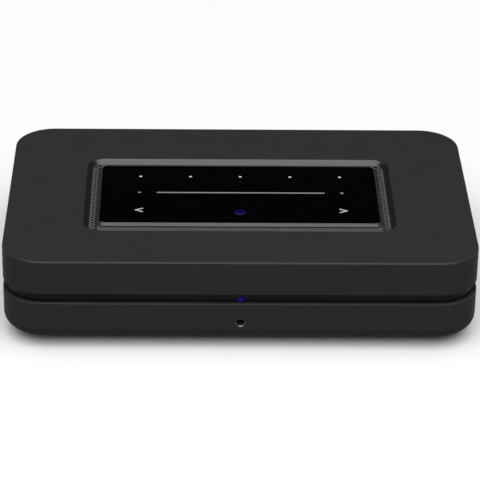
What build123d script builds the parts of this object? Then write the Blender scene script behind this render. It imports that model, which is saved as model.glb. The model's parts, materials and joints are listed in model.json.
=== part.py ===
from build123d import *
from math import hypot
import os

os.makedirs("parts", exist_ok=True)

# Network music streamer, a low desktop box. X is to the right, Y to the rear, Z up, in millimetres.
# The origin is the middle of the overall footprint, on the surface that the feet stand on.

# Casing
body_width = 220.0
body_depth = 142.0
corner_radius = 19.0
foot_height = 3.4
base_thickness = 1.5
lower_height = 19.6
band_height = 4.6
cover_height = 16.9
wall = 2.5
rear_wall = 4.0
top_wall = 1.9
floor_thickness = 2.5
cover_edge_radius = 1.0
cover_lower_bevel = 0.4
shell_edge_radius = 0.6
shell_base_radius = 5.0

# Clearances
lip_fit = 0.1
nest_gap = 0.03
hinge_gap = 0.05
cutout_gap = 0.15
board_gap = 1.0
overrun = 1.0

# Hidden round shapes are drawn with flats
small_flat_count = 12

# Waist band
band_inset = 2.0
lip_thickness = 1.8
lip_reach = 3.0
band_boss_width = 5.0
band_boss_depth = 2.0

# Rear window and rear panel
window_side = 23.0
window_low = 1.9
window_high = 5.6
panel_lap = 3.5
panel_thickness = 2.0
panel_top_gap = 0.2
panel_foot_gap = 1.0

# Columns, feet and vents
column_radius = 4.0
column_inset_x = 16.0
column_inset_y = 16.0
base_inset = 10.0
base_bevel = 0.5
foot_radius = 9.0
foot_top_radius = 8.2
foot_bevel = 0.7
foot_dimple_radius = 3.5
foot_dimple_depth = 1.2
foot_inset_x = 27.0
foot_inset_y = 27.0
vent_width = 3.0
vent_length = 26.0
vent_pitch = 7.0
vent_count = 9
vent_group_pitch = 90.0

# Screws
screw_radius = 1.5
screw_hole_radius = 1.7
screw_length = 30.0
screw_head_radius = 2.8
screw_head_height = 1.8
screw_socket_radius = 1.3
screw_socket_depth = 1.1
screw_cone = 0.5
small_screw_radius = 1.2
small_screw_reach = 1.6
small_head_radius = 2.4
small_head_height = 1.4
small_socket_radius = 1.0
small_socket_depth = 0.8

# Recess in the top, grille and control panel
recess_side = 7.0
recess_end = 7.8
recess_offset = -1.8
recess_radius = 8.0
recess_run = 2.7
grille_lap = 4.5
grille_thickness = 0.8
grille_hole_radius = 0.95
grille_pitch = 2.9
grille_row_share = 0.866
grille_margin = 0.45
stud_radius = 0.95
stud_head_radius = 1.8
stud_head_height = 0.7
glass_width = 132.6
glass_depth = 60.4
glass_radius = 3.0
glass_thickness = 0.7
glass_proud = 0.2
glass_edge = 0.2
frame_bevel_run = 1.0
tray_inset = 0.8
tray_drop = 4.0
tray_floor = 1.5
tray_rim = 2.0
tray_window_gap = 0.3
tray_post_radius = 2.0
tray_post_height = 1.0
touch_board_gap = 1.5
touch_board_thickness = 1.0
clip_width = 10.0
clip_foot = 8.0
clip_thickness = 1.0
clip_gap = 0.2
clip_pitch = 96.0
ribbon_width = 12.0
ribbon_thickness = 0.4
ribbon_slot_gap = 1.0
ribbon_x = 14.0
ribbon_plug_height = 4.0
ribbon_plug_depth = 5.0

# Lit marks under the glass
dot_radius = 0.9
dot_pitch = 24.1
dot_count = 5
dot_row = 18.1
slider_length = 80.6
slider_width = 1.1
slider_row = 1.3
mark_pitch = 97.8
mark_length = 2.4
chevron_pitch = 96.8
chevron_reach = 4.2
chevron_half = 2.1
chevron_stroke = 0.9
chevron_row = -17.2
ring_radius = 3.25
ring_stroke = 0.9
ring_row = -18.5

# Circuit boards
board_thickness = 1.6
board_lift = 2.7
board_split = 48.0
split_gap = 4.0
post_radius = 3.0
post_fixing_depth = 1.5
column_gap = 0.5

# Status light and remote receiver
led_radius = 1.5
led_height = 1.5
led_flange_radius = 1.9
led_flange = 0.8
led_dome = 0.5
front_board_width = 40.0
front_board_thickness = 1.2
front_fixing_pitch = 30.0
receiver_size = 5.5
receiver_x = 8.0
receiver_gap = 0.1
receiver_dome = 1.4
receiver_bevel = 0.5
flex_width = 6.0
flex_thickness = 0.3
flex_x = -9.5
flex_bend = 1.5
flex_run = 6.0
flex_plug_height = 2.0
flex_plug_depth = 4.0

# Jacks for 3.5 mm plugs
jack_bore_radius = 1.8
jack_width = 7.0
jack_height = 6.0
jack_length = 13.5
jack_nose_radius = 2.8
jack_nose_proud = 0.5
jack_sink_radius = 2.2
jack_sink_depth = 0.5
line_jack_x = -34.0
trigger_jack_x = -45.0

# Phono sockets
barrel_length = 8.0
barrel_radius = 4.15
barrel_wall = 0.6
barrel_root_step = 0.2
barrel_root_gap = 0.2
barrel_step = 14.6
barrel_first = 6.6
insert_recess = 2.5
contact_bore_radius = 1.65
contact_wall = 0.5
contact_recess = 0.5
phono_width = 12.0
phono_depth = 13.0
phono_height = 27.0
phono_collar_radius = 4.8
phono_collar = 0.8
phono_pair_x = -59.5
phono_stereo_x = -75.5

# Optical socket with its shutter
optical_x = -21.0
optical_mouth = 8.2
optical_corner = 1.4
optical_wall = 0.9
optical_sill = 1.2
optical_length = 15.0
optical_front = 1.0
optical_proud = 0.3
optical_side_gap = 0.2
optical_roof_gap = 0.25
optical_roof = 1.1
shutter_lap = 0.4
shutter_foot_gap = 0.25
shutter_thickness = 0.9
shutter_knuckle_radius = 1.0
shutter_knuckle_share = 0.3
shutter_face_gap = 0.12
shutter_bevel = 0.3
shutter_pin_radius = 0.5
spring_wire = 0.25

# Data sockets
usb_x = -4.0
usb_width = 13.2
usb_height = 5.8
usb_length = 14.0
usb_wall = 0.35
usb_lift = 0.6
usb_tongue_width = 11.1
usb_tongue_height = 1.8
usb_tongue_length = 9.0
video_x = 15.0
video_width = 15.0
video_height = 5.9
video_length = 11.5
video_wall = 0.5
video_bevel = 1.6
video_lift = 0.5
video_tongue_width = 11.6
video_tongue_height = 1.0
video_tongue_length = 7.0
socket_back = 2.0
socket_proud = 0.3
ethernet_x = 35.0
ethernet_width = 16.0
ethernet_height = 13.4
ethernet_length = 21.0
ethernet_mouth_width = 11.9
ethernet_mouth_height = 8.2
ethernet_mouth_depth = 13.5
ethernet_sill = 1.6
ethernet_key_width = 6.0
ethernet_key_height = 2.4
ethernet_contact = 0.4
ethernet_contact_count = 8
ethernet_contact_pitch = 1.02
ethernet_contact_length = 8.0
ethernet_contact_rise = 0.7

# Mains inlet
inlet_side = 42.0
inlet_body_width = 22.0
inlet_body_height = 16.0
inlet_length = 20.0
inlet_flange_width = 27.0
inlet_flange_height = 19.0
inlet_flange = 1.5
inlet_flange_radius = 2.0
inlet_lobe_radius = 4.25
inlet_pin_pitch = 8.6
inlet_waist = 6.4
inlet_depth = 12.0
inlet_pin_radius = 1.2
inlet_pin_length = 9.5
inlet_pin_root = 3.0

# Power supply
core_width = 28.0
core_height = 22.0
core_depth = 9.0
core_limb = 5.0
core_centre = 8.0
winding_gap = 0.2
winding_build = 4.2
winding_radius = 2.0
bulk_radius = 8.0
bulk_height = 24.0
output_radius = 4.0
output_height = 15.0
can_bevel = 0.6
choke_width = 18.0
choke_depth = 15.0
choke_height = 17.0
choke_hole_radius = 3.0
fuse_radius = 2.6
fuse_length = 20.0
fuse_cap = 5.0
fuse_glass_radius = 2.3
fuse_lift = 3.2
holder_width = 4.0
holder_length = 4.0
sink_fin_depth = 6.0
sink_length = 26.0
sink_height = 19.0
sink_base = 2.0
sink_fin = 1.2
sink_fin_count = 4
sheet_thickness = 0.4
sheet_edge = 1.0
link_width = 14.0
link_thickness = 0.8
link_rise = 5.0
link_bend = 1.6
link_plug_width = 4.0
link_plug_height = 3.0

# Places on the boards, as shares of their width and depth
main_post_shares = [(0.08, 0.3), (0.08, 0.78), (0.44, 0.1), (0.55, 0.72), (0.94, 0.1), (0.94, 0.68)]
power_post_shares = [(0.06, 0.06), (0.06, 0.9), (0.88, 0.2), (0.93, 0.62)]
core_shares = (0.42, 0.5)
bulk_shares = (0.83, 0.5)
output_shares = [(0.25, 0.24), (0.45, 0.24), (0.65, 0.24)]
choke_shares = (0.24, 0.72)
fuse_shares = (0.78, 0.72)
sink_shares = (0.45, 0.34)
link_share = 0.42

# Main board parts
chip_size = 17.0
chip_height = 1.6
chip_x = -34.0
chip_y = -18.0
pad_thickness = 0.5
cooler_size = 42.0
cooler_base = 2.5
cooler_height = 12.0
cooler_fin = 1.3
cooler_fin_count = 9
memory_width = 9.0
memory_length = 13.0
memory_height = 1.1
memory_pitch = 16.0
radio_width = 14.0
radio_length = 20.0
radio_board = 0.8
radio_can_height = 2.0
radio_can_inset = 1.2
radio_x = -84.0
radio_y = 12.0
dac_size = 9.0
dac_height = 1.2
crystal_width = 5.0
crystal_length = 11.0
crystal_height = 3.5
can_radius = 3.15
small_can_height = 7.0
small_can_pitch = 9.0
small_can_count = 4
antenna_length = 34.0
antenna_thickness = 0.3
antenna_margin = 1.0

# Levels and faces that follow from the casing
lower_z = foot_height + base_thickness
floor_z = lower_z + floor_thickness
band_z = lower_z + lower_height
cover_z = band_z + band_height
top_z = cover_z + cover_height
ceiling_z = top_z - top_wall
front_y = -(body_depth + barrel_length - rear_wall) / 2
back_y = front_y + body_depth
body_y = (front_y + back_y) / 2
panel_y = back_y - rear_wall
panel_inner_y = panel_y - panel_thickness
cavity_width = body_width - 2 * wall
cavity_depth = body_depth - wall - rear_wall
cavity_front_y = front_y + wall
cavity_y = (cavity_front_y + panel_y) / 2
cavity_radius = corner_radius - wall
window_z = floor_z + window_low
window_top_z = ceiling_z - window_high
window_width = body_width - 2 * window_side
panel_width = window_width + 2 * panel_lap
panel_foot_z = floor_z + panel_foot_gap
panel_top_z = ceiling_z - panel_top_gap
board_z = floor_z + board_lift
board_top = board_z + board_thickness
recess_y = body_y + recess_offset
recess_width = glass_width + 2 * recess_side
recess_depth = glass_depth + 2 * recess_end
opening_width = recess_width - 2 * recess_run
opening_depth = recess_depth - 2 * recess_run
opening_radius = recess_radius - recess_run
inlet_x = body_width / 2 - inlet_side
lip_inset = lip_fit + lip_thickness
band_inner_y = cavity_front_y + lip_inset

# Places that several pieces share
column_x = body_width / 2 - column_inset_x
column_dy = body_depth / 2 - column_inset_y
columns = [(column_x * sx, body_y + column_dy * sy) for sx in (-1, 1) for sy in (-1, 1)]
foot_x = body_width / 2 - foot_inset_x
foot_dy = body_depth / 2 - foot_inset_y
feet = [(foot_x * sx, body_y + foot_dy * sy) for sx in (-1, 1) for sy in (-1, 1)]
vents = [
    (vent_group_pitch / 2 * side + vent_pitch * (i - (vent_count - 1) / 2), body_y)
    for side in (-1, 1)
    for i in range(vent_count)
]
main_left = -(cavity_width / 2 - board_gap)
main_right = board_split - split_gap / 2
power_left = board_split + split_gap / 2
power_right = -main_left
board_front = cavity_front_y + board_gap
board_back = panel_inner_y - board_gap / 2
board_mid_y = (board_front + board_back) / 2
main_width = main_right - main_left
power_width = power_right - power_left
board_depth = board_back - board_front
main_posts = [(main_left + main_width * u, board_front + board_depth * v) for u, v in main_post_shares]
power_posts = [(power_left + power_width * u, board_front + board_depth * v) for u, v in power_post_shares]
stud_places = [(opening_width / 3 * sx, recess_y + (opening_depth + grille_lap) / 2 * sy)
               for sx in (-1, 1) for sy in (-1, 1)]
stud_places += [((opening_width + grille_lap) / 2 * sx, recess_y) for sx in (-1, 1)]

# Top cover: a thin tub turned upside down, with the sloped recess that the control panel sits in
with BuildPart() as top_cover:
    with BuildSketch(Plane.XY.offset(cover_z)):
        with Locations((0, body_y)):
            RectangleRounded(body_width, body_depth, corner_radius)
    extrude(amount=cover_height)
    fillet(top_cover.faces().sort_by(Axis.Z)[-1].edges(), cover_edge_radius)
    chamfer(top_cover.faces().sort_by(Axis.Z)[0].edges(), cover_lower_bevel)
    with BuildSketch(Plane.XY.offset(cover_z)):
        with Locations((0, cavity_y)):
            RectangleRounded(cavity_width, cavity_depth, cavity_radius)
    extrude(amount=cover_height - top_wall, mode=Mode.SUBTRACT)
    with BuildSketch(Plane.XY.offset(top_z)):
        with Locations((0, recess_y)):
            RectangleRounded(recess_width, recess_depth, recess_radius)
    with BuildSketch(Plane.XY.offset(ceiling_z)):
        with Locations((0, recess_y)):
            RectangleRounded(opening_width, opening_depth, opening_radius)
    loft(ruled=True, mode=Mode.SUBTRACT)
    with BuildSketch(Plane.XY.offset(cover_z)):
        with Locations((0, (panel_y + back_y + overrun) / 2)):
            Rectangle(window_width, rear_wall + overrun)
    extrude(amount=window_top_z - cover_z, mode=Mode.SUBTRACT)
    with BuildSketch(Plane.XY.offset(band_z)):
        with Locations(*columns):
            RegularPolygon(column_radius, small_flat_count)
    extrude(amount=ceiling_z - band_z)
    with BuildSketch(Plane.XY.offset(band_z)):
        with Locations(*columns):
            RegularPolygon(screw_radius + nest_gap, small_flat_count)
    extrude(amount=lower_z + screw_length - band_z, mode=Mode.SUBTRACT)
    with BuildSketch(Plane.XY.offset(ceiling_z)):
        with Locations(*stud_places):
            RegularPolygon(stud_radius, small_flat_count)
    extrude(amount=-grille_thickness)
    with BuildSketch(Plane.XY.offset(ceiling_z - grille_thickness)):
        with Locations(*stud_places):
            RegularPolygon(stud_head_radius, small_flat_count)
    extrude(amount=-stud_head_height)
top_cover.part.label = "top_cover"
export_step(top_cover.part, "parts/top_cover.step")

# Bottom shell: a tub with a rounded lower edge, screw columns and board posts
with BuildPart() as bottom_shell:
    with BuildSketch(Plane.XY.offset(lower_z)):
        with Locations((0, body_y)):
            RectangleRounded(body_width, body_depth, corner_radius)
    extrude(amount=lower_height)
    fillet(bottom_shell.faces().sort_by(Axis.Z)[0].edges(), shell_base_radius)
    fillet(bottom_shell.faces().sort_by(Axis.Z)[-1].edges(), shell_edge_radius)
    with BuildSketch(Plane.XY.offset(floor_z)):
        with Locations((0, cavity_y)):
            RectangleRounded(cavity_width, cavity_depth, cavity_radius)
    extrude(amount=band_z - floor_z, mode=Mode.SUBTRACT)
    with BuildSketch(Plane.XY.offset(window_z)):
        with Locations((0, (panel_y + back_y + overrun) / 2)):
            Rectangle(window_width, rear_wall + overrun)
    extrude(amount=band_z - window_z, mode=Mode.SUBTRACT)
    with BuildSketch(Plane.XY.offset(floor_z)):
        with Locations(*columns):
            RegularPolygon(column_radius, small_flat_count)
    extrude(amount=band_z - floor_z)
    with BuildSketch(Plane.XY.offset(floor_z)):
        with Locations(*main_posts, *power_posts):
            Rectangle(2 * post_radius, 2 * post_radius)
    extrude(amount=board_lift)
    with BuildSketch(Plane.XY.offset(floor_z - post_fixing_depth)):
        with Locations(*main_posts, *power_posts):
            RegularPolygon(small_screw_radius + nest_gap, small_flat_count)
    extrude(amount=board_lift + post_fixing_depth, mode=Mode.SUBTRACT)
    with BuildSketch(Plane.XY.offset(lower_z)):
        with Locations(*columns):
            RegularPolygon(screw_hole_radius, small_flat_count)
    extrude(amount=lower_height, mode=Mode.SUBTRACT)
    with BuildSketch(Plane.XY.offset(lower_z)):
        with Locations(*vents):
            Rectangle(vent_width, vent_length)
    extrude(amount=floor_thickness, mode=Mode.SUBTRACT)
    with BuildSketch(Plane.XZ.offset(-front_y)):
        with Locations((0, board_top + jack_height / 2)):
            Circle(jack_sink_radius)
    with BuildSketch(Plane.XZ.offset(-front_y - jack_sink_depth)):
        with Locations((0, board_top + jack_height / 2)):
            Circle(jack_bore_radius)
    loft(mode=Mode.SUBTRACT)
    with BuildSketch(Plane.XZ.offset(-front_y)):
        with Locations((0, board_top + jack_height / 2)):
            Circle(jack_bore_radius)
    extrude(amount=-wall, mode=Mode.SUBTRACT)
bottom_shell.part.label = "bottom_shell"
export_step(bottom_shell.part, "parts/bottom_shell.step")

# Waist band: the dark ring between the shells, with lips that locate both and bosses for the front board
front_board_y = band_inner_y + band_boss_depth
front_fixings = [(front_fixing_pitch / 2 * side, (band_z + cover_z) / 2) for side in (-1, 1)]
with BuildPart() as waist_band:
    with BuildSketch(Plane.XY.offset(band_z)):
        with Locations((0, body_y)):
            RectangleRounded(
                body_width - 2 * band_inset, body_depth - 2 * band_inset, corner_radius - band_inset)
    extrude(amount=band_height)
    with BuildSketch(Plane.XY.offset(band_z - lip_reach)):
        with Locations((0, cavity_y)):
            RectangleRounded(cavity_width - 2 * lip_fit, cavity_depth - 2 * lip_fit, cavity_radius - lip_fit)
    extrude(amount=band_height + 2 * lip_reach)
    with BuildSketch(Plane.XY.offset(band_z - lip_reach)):
        with Locations((0, cavity_y)):
            RectangleRounded(
                cavity_width - 2 * lip_inset, cavity_depth - 2 * lip_inset, cavity_radius - lip_inset)
    extrude(amount=band_height + 2 * lip_reach, mode=Mode.SUBTRACT)
    with BuildSketch(Plane.XY.offset(band_z - lip_reach)):
        with Locations((0, (panel_inner_y + back_y) / 2)):
            Rectangle(panel_width + 2 * lip_fit, back_y - panel_inner_y + 2 * lip_fit)
    extrude(amount=band_height + 2 * lip_reach, mode=Mode.SUBTRACT)
    with BuildSketch(Plane.XZ.offset(-band_inner_y)):
        with Locations(*front_fixings):
            Rectangle(band_boss_width, band_height + 2 * lip_reach)
    extrude(amount=-band_boss_depth)
    with BuildSketch(Plane.XZ.offset(-front_board_y)):
        with Locations(*front_fixings):
            RegularPolygon(small_screw_radius + nest_gap, small_flat_count)
    extrude(amount=small_screw_reach, mode=Mode.SUBTRACT)
    with BuildSketch(Plane.XZ.offset(-front_y)):
        with Locations((0, band_z + led_height)):
            Circle(led_radius + hinge_gap)
    extrude(amount=front_y - band_inner_y, mode=Mode.SUBTRACT)
waist_band.part.label = "waist_band"
export_step(waist_band.part, "parts/waist_band.step")

# Base plate with vent slots and the four screw holes
with BuildPart() as base_plate:
    with BuildSketch(Plane.XY.offset(foot_height)):
        with Locations((0, body_y)):
            RectangleRounded(
                body_width - 2 * base_inset, body_depth - 2 * base_inset, corner_radius - base_inset)
        with Locations(*vents):
            Rectangle(vent_width, vent_length, mode=Mode.SUBTRACT)
        with Locations(*columns):
            RegularPolygon(screw_hole_radius, small_flat_count, mode=Mode.SUBTRACT)
    extrude(amount=base_thickness)
    outline = base_plate.faces().sort_by(Axis.Z)[0].outer_wire().edges()
    chamfer(outline, base_bevel)
base_plate.part.label = "base_plate"
export_step(base_plate.part, "parts/base_plate.step")

# Rubber feet: tapered discs with a dimple underneath
with BuildPart() as rubber_feet:
    for foot in feet:
        with BuildSketch(Plane.XY):
            with Locations(foot):
                Circle(foot_top_radius)
        with BuildSketch(Plane.XY.offset(foot_bevel)):
            with Locations(foot):
                Circle(foot_radius)
        loft()
        with BuildSketch(Plane.XY.offset(foot_bevel)):
            with Locations(foot):
                Circle(foot_radius)
        extrude(amount=foot_height - foot_bevel)
    with BuildSketch(Plane.XY):
        with Locations(*feet):
            Circle(foot_dimple_radius)
    extrude(amount=foot_dimple_depth, mode=Mode.SUBTRACT)
rubber_feet.part.label = "rubber_feet"
export_step(rubber_feet.part, "parts/rubber_feet.step")

# Case screws: they pass the base plate and the columns, and bite into the bosses of the cover
with BuildPart() as case_screws:
    with BuildSketch(Plane.XY.offset(foot_height)):
        with Locations(*columns):
            RegularPolygon(screw_radius, small_flat_count)
    extrude(amount=base_thickness + screw_length - screw_cone)
    with BuildSketch(Plane.XY.offset(foot_height - screw_head_height)):
        with Locations(*columns):
            Circle(screw_head_radius)
    extrude(amount=screw_head_height)
    with BuildSketch(Plane.XY.offset(foot_height - screw_head_height)):
        with Locations(*columns):
            RegularPolygon(screw_socket_radius, 6)
    extrude(amount=screw_socket_depth, mode=Mode.SUBTRACT)
case_screws.part.label = "case_screws"
export_step(case_screws.part, "parts/case_screws.step")

# Vent grille: a perforated sheet under the recess, with a window for the panel tray
flange_width = glass_width + 2 * frame_bevel_run
flange_depth = glass_depth + 2 * frame_bevel_run
flange_radius = glass_radius + frame_bevel_run
tray_width = glass_width - 2 * tray_inset
tray_depth = glass_depth - 2 * tray_inset
tray_radius = glass_radius - tray_inset


def inside_rounded(x, y, width, depth, radius):
    """True where a point lies in a rounded rectangle centred on zero."""
    dx = max(abs(x) - (width / 2 - radius), 0)
    dy = max(abs(y) - (depth / 2 - radius), 0)
    return hypot(dx, dy) <= radius


def grille_holes():
    """Places of the perforations: staggered rows that keep clear of the frame and of the recess wall."""
    reach = grille_hole_radius + grille_margin
    row_step = grille_pitch * grille_row_share
    rows = int(opening_depth / 2 / row_step)
    cols = int(opening_width / 2 / grille_pitch) + 1
    found = []
    for row in range(-rows, rows + 1):
        for col in range(-cols, cols + 1):
            x = (col + row % 2 / 2) * grille_pitch
            y = row * row_step
            open_here = inside_rounded(x, y, opening_width - 2 * reach, opening_depth - 2 * reach,
                                       opening_radius - grille_margin)
            framed = abs(x) < flange_width / 2 + reach and abs(y) < flange_depth / 2 + reach
            if open_here and not framed:
                found.append((x, recess_y + y))
    return found


with BuildPart() as vent_grille:
    with BuildSketch(Plane.XY.offset(ceiling_z)):
        with Locations((0, recess_y)):
            RectangleRounded(
                opening_width + 2 * grille_lap, opening_depth + 2 * grille_lap, opening_radius + grille_lap)
            RectangleRounded(
                tray_width + 2 * tray_window_gap, tray_depth + 2 * tray_window_gap,
                tray_radius + tray_window_gap, mode=Mode.SUBTRACT)
        with Locations(*stud_places):
            RegularPolygon(stud_radius + nest_gap, small_flat_count, mode=Mode.SUBTRACT)
        with Locations(*grille_holes()):
            RegularPolygon(grille_hole_radius, 6, mode=Mode.SUBTRACT)
    extrude(amount=-grille_thickness)
vent_grille.part.label = "vent_grille"
export_step(vent_grille.part, "parts/vent_grille.step")

# Panel frame: a tray that drops through the grille and carries the glass on a bevelled rim
frame_top = top_z + glass_proud - glass_thickness
tray_z = ceiling_z - tray_drop
tray_floor_z = tray_z + tray_floor
clips = [(clip_pitch / 2 * sx, recess_y + (tray_depth / 2 - clip_foot / 2) * sy, sy)
         for sx in (-1, 1) for sy in (-1, 1)]
clip_fixings = [(x, y) for x, y, side in clips]
tray_post_shares = [(-0.42, -0.38), (-0.42, 0.38), (0.42, -0.38), (0.42, 0.38), (0.0, -0.02)]
tray_posts = [(tray_width * u, recess_y + tray_depth * v) for u, v in tray_post_shares]
with BuildPart() as panel_frame:
    with BuildSketch(Plane.XY.offset(ceiling_z)):
        with Locations((0, recess_y)):
            RectangleRounded(flange_width, flange_depth, flange_radius)
    with BuildSketch(Plane.XY.offset(frame_top)):
        with Locations((0, recess_y)):
            RectangleRounded(glass_width, glass_depth, glass_radius)
    loft(ruled=True)
    with BuildSketch(Plane.XY.offset(tray_z)):
        with Locations((0, recess_y)):
            RectangleRounded(tray_width, tray_depth, tray_radius)
    extrude(amount=tray_drop)
    with BuildSketch(Plane.XY.offset(tray_floor_z)):
        with Locations((0, recess_y)):
            Rectangle(tray_width - 2 * tray_rim, tray_depth - 2 * tray_rim)
    extrude(amount=frame_top - tray_floor_z, mode=Mode.SUBTRACT)
    with BuildSketch(Plane.XY.offset(tray_floor_z)):
        with Locations(*tray_posts):
            RegularPolygon(tray_post_radius, small_flat_count)
    extrude(amount=tray_post_height)
    with BuildSketch(Plane.XY.offset(tray_z)):
        with Locations((ribbon_x, recess_y)):
            Rectangle(ribbon_width + 2 * ribbon_slot_gap, ribbon_thickness + 2 * ribbon_slot_gap)
    extrude(amount=tray_floor, mode=Mode.SUBTRACT)
    with BuildSketch(Plane.XY.offset(tray_z)):
        with Locations(*clip_fixings):
            RegularPolygon(small_screw_radius + nest_gap, small_flat_count)
    extrude(amount=tray_floor, mode=Mode.SUBTRACT)
panel_frame.part.label = "panel_frame"
export_step(panel_frame.part, "parts/panel_frame.step")

# Touch glass
with BuildPart() as touch_glass:
    with BuildSketch(Plane.XY.offset(frame_top)):
        with Locations((0, recess_y)):
            RectangleRounded(glass_width, glass_depth, glass_radius)
    extrude(amount=glass_thickness)
    chamfer(touch_glass.faces().sort_by(Axis.Z)[-1].edges(), glass_edge)
touch_glass.part.label = "touch_glass"
export_step(touch_glass.part, "parts/touch_glass.step")

# Touch sensor board on the posts of the tray
touch_board_z = tray_floor_z + tray_post_height
touch_board_top = touch_board_z + touch_board_thickness
with BuildPart() as touch_board:
    with BuildSketch(Plane.XY.offset(touch_board_z)):
        with Locations((0, recess_y)):
            Rectangle(
                tray_width - 2 * tray_rim - 2 * touch_board_gap,
                tray_depth - 2 * tray_rim - 2 * touch_board_gap)
    extrude(amount=touch_board_thickness)
touch_board.part.label = "touch_board"
export_step(touch_board.part, "parts/touch_board.step")

# Light guides: one clear block from the board to the glass under each lit mark
with BuildPart() as light_guides:
    with BuildSketch(Plane.XY.offset(touch_board_top)):
        with Locations((0, recess_y + dot_row)):
            with GridLocations(dot_pitch, dot_pitch, dot_count, 1):
                RegularPolygon(dot_radius, small_flat_count)
        with Locations((0, recess_y + slider_row)):
            Rectangle(slider_length, slider_width)
            with GridLocations(mark_pitch, mark_pitch, 2, 1):
                Rectangle(mark_length, slider_width)
        for side in (-1, 1):
            tip_x = side * (chevron_pitch + chevron_reach) / 2
            knee_x = side * (chevron_pitch - chevron_reach) / 2
            mid_y = recess_y + chevron_row
            with BuildLine() as chevron:
                Polyline((knee_x, mid_y + chevron_half), (tip_x, mid_y), (knee_x, mid_y - chevron_half))
            trace(chevron.line, chevron_stroke)
        with Locations((0, recess_y + ring_row)):
            RegularPolygon(ring_radius, small_flat_count)
            RegularPolygon(ring_radius - ring_stroke, small_flat_count, mode=Mode.SUBTRACT)
    extrude(amount=frame_top - touch_board_top)
light_guides.part.label = "light_guides"
export_step(light_guides.part, "parts/light_guides.step")

# Panel clips: angle pieces under the tray whose upright edge presses the grille from below
with BuildPart() as panel_clips:
    for clip_x, clip_y, side in clips:
        web_y = recess_y + side * (tray_depth / 2 + clip_gap + clip_thickness / 2)
        with BuildSketch(Plane.XY.offset(tray_z - clip_thickness)):
            with Locations((clip_x, (clip_y - side * clip_foot / 2 + web_y + side * clip_thickness / 2) / 2)):
                Rectangle(clip_width, clip_foot + clip_gap + clip_thickness)
            with Locations((clip_x, clip_y)):
                RegularPolygon(small_screw_radius + cutout_gap, small_flat_count, mode=Mode.SUBTRACT)
        extrude(amount=clip_thickness)
        with BuildSketch(Plane.XY.offset(tray_z - clip_thickness)):
            with Locations((clip_x, web_y)):
                Rectangle(clip_width, clip_thickness)
        extrude(amount=ceiling_z - grille_thickness - tray_z + clip_thickness)
panel_clips.part.label = "panel_clips"
export_step(panel_clips.part, "parts/panel_clips.step")


def board_sketch(left, right, holes):
    """Outline of a circuit board: the casing's inner outline between two sides, with column and screw holes."""
    with BuildSketch(Plane.XY.offset(board_z)) as outline:
        with Locations((0, cavity_y)):
            RectangleRounded(
                cavity_width - 2 * board_gap, cavity_depth - 2 * board_gap, cavity_radius - board_gap)
        with Locations(((left + right) / 2, board_mid_y)):
            Rectangle(right - left, board_depth, mode=Mode.INTERSECT)
        with Locations(*columns):
            RegularPolygon(column_radius + column_gap, small_flat_count, mode=Mode.SUBTRACT)
        with Locations(*holes):
            RegularPolygon(small_screw_radius + cutout_gap, small_flat_count, mode=Mode.SUBTRACT)
    return outline.sketch


# Main board
with BuildPart() as main_board:
    add(board_sketch(main_left, main_right, main_posts))
    extrude(amount=board_thickness)
main_board.part.label = "main_board"
export_step(main_board.part, "parts/main_board.step")

# Power board
with BuildPart() as power_board:
    add(board_sketch(power_left, power_right, power_posts))
    extrude(amount=board_thickness)
power_board.part.label = "power_board"
export_step(power_board.part, "parts/power_board.step")

# Insulation sheet on the floor under the power board, clear of the posts and columns
with BuildPart() as insulation_sheet:
    with BuildSketch(Plane.XY.offset(floor_z)):
        with Locations(((power_left + power_right) / 2, board_mid_y)):
            Rectangle(power_width, board_depth)
        with Locations((0, cavity_y)):
            RectangleRounded(
                cavity_width - 2 * shell_base_radius, cavity_depth - 2 * shell_base_radius,
                cavity_radius - shell_base_radius, mode=Mode.INTERSECT)
        with Locations(*columns, *power_posts):
            RegularPolygon(column_radius + sheet_edge, small_flat_count, mode=Mode.SUBTRACT)
        with Locations(*vents):
            Rectangle(vent_width + 2 * sheet_edge, vent_length + 2 * sheet_edge, mode=Mode.SUBTRACT)
    extrude(amount=sheet_thickness)
insulation_sheet.part.label = "insulation_sheet"
export_step(insulation_sheet.part, "parts/insulation_sheet.step")

# Front board behind the band: it carries the status light and the remote receiver
front_board_height = band_height + 2 * lip_reach
with BuildPart() as front_board:
    with BuildSketch(Plane.XZ.offset(-front_board_y)):
        with Locations((0, (band_z + cover_z) / 2)):
            Rectangle(front_board_width, front_board_height)
        with Locations(*front_fixings):
            RegularPolygon(small_screw_radius + cutout_gap, small_flat_count, mode=Mode.SUBTRACT)
    extrude(amount=-front_board_thickness)
front_board.part.label = "front_board"
export_step(front_board.part, "parts/front_board.step")

# Inner screws: one kind holds the boards, the panel clips and the front board
board_fixings = main_posts + power_posts
with BuildPart() as inner_screws:
    with BuildSketch(Plane.XY.offset(floor_z - post_fixing_depth)):
        with Locations(*board_fixings):
            RegularPolygon(small_screw_radius, small_flat_count)
    extrude(amount=board_top - floor_z + post_fixing_depth)
    with BuildSketch(Plane.XY.offset(board_top)):
        with Locations(*board_fixings):
            RegularPolygon(small_head_radius, small_flat_count)
    extrude(amount=small_head_height)
    with BuildSketch(Plane.XY.offset(tray_z - clip_thickness)):
        with Locations(*clip_fixings):
            RegularPolygon(small_screw_radius, small_flat_count)
    extrude(amount=clip_thickness + tray_floor)
    with BuildSketch(Plane.XY.offset(tray_z - clip_thickness)):
        with Locations(*clip_fixings):
            RegularPolygon(small_head_radius, small_flat_count)
    extrude(amount=-small_head_height)
    with BuildSketch(Plane.XZ.offset(-front_board_y + small_screw_reach)):
        with Locations(*front_fixings):
            RegularPolygon(small_screw_radius, small_flat_count)
    extrude(amount=-small_screw_reach - front_board_thickness)
    with BuildSketch(Plane.XZ.offset(-front_board_y - front_board_thickness)):
        with Locations(*front_fixings):
            RegularPolygon(small_head_radius, small_flat_count)
    extrude(amount=-small_head_height)
inner_screws.part.label = "inner_screws"
export_step(inner_screws.part, "parts/inner_screws.step")

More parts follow.
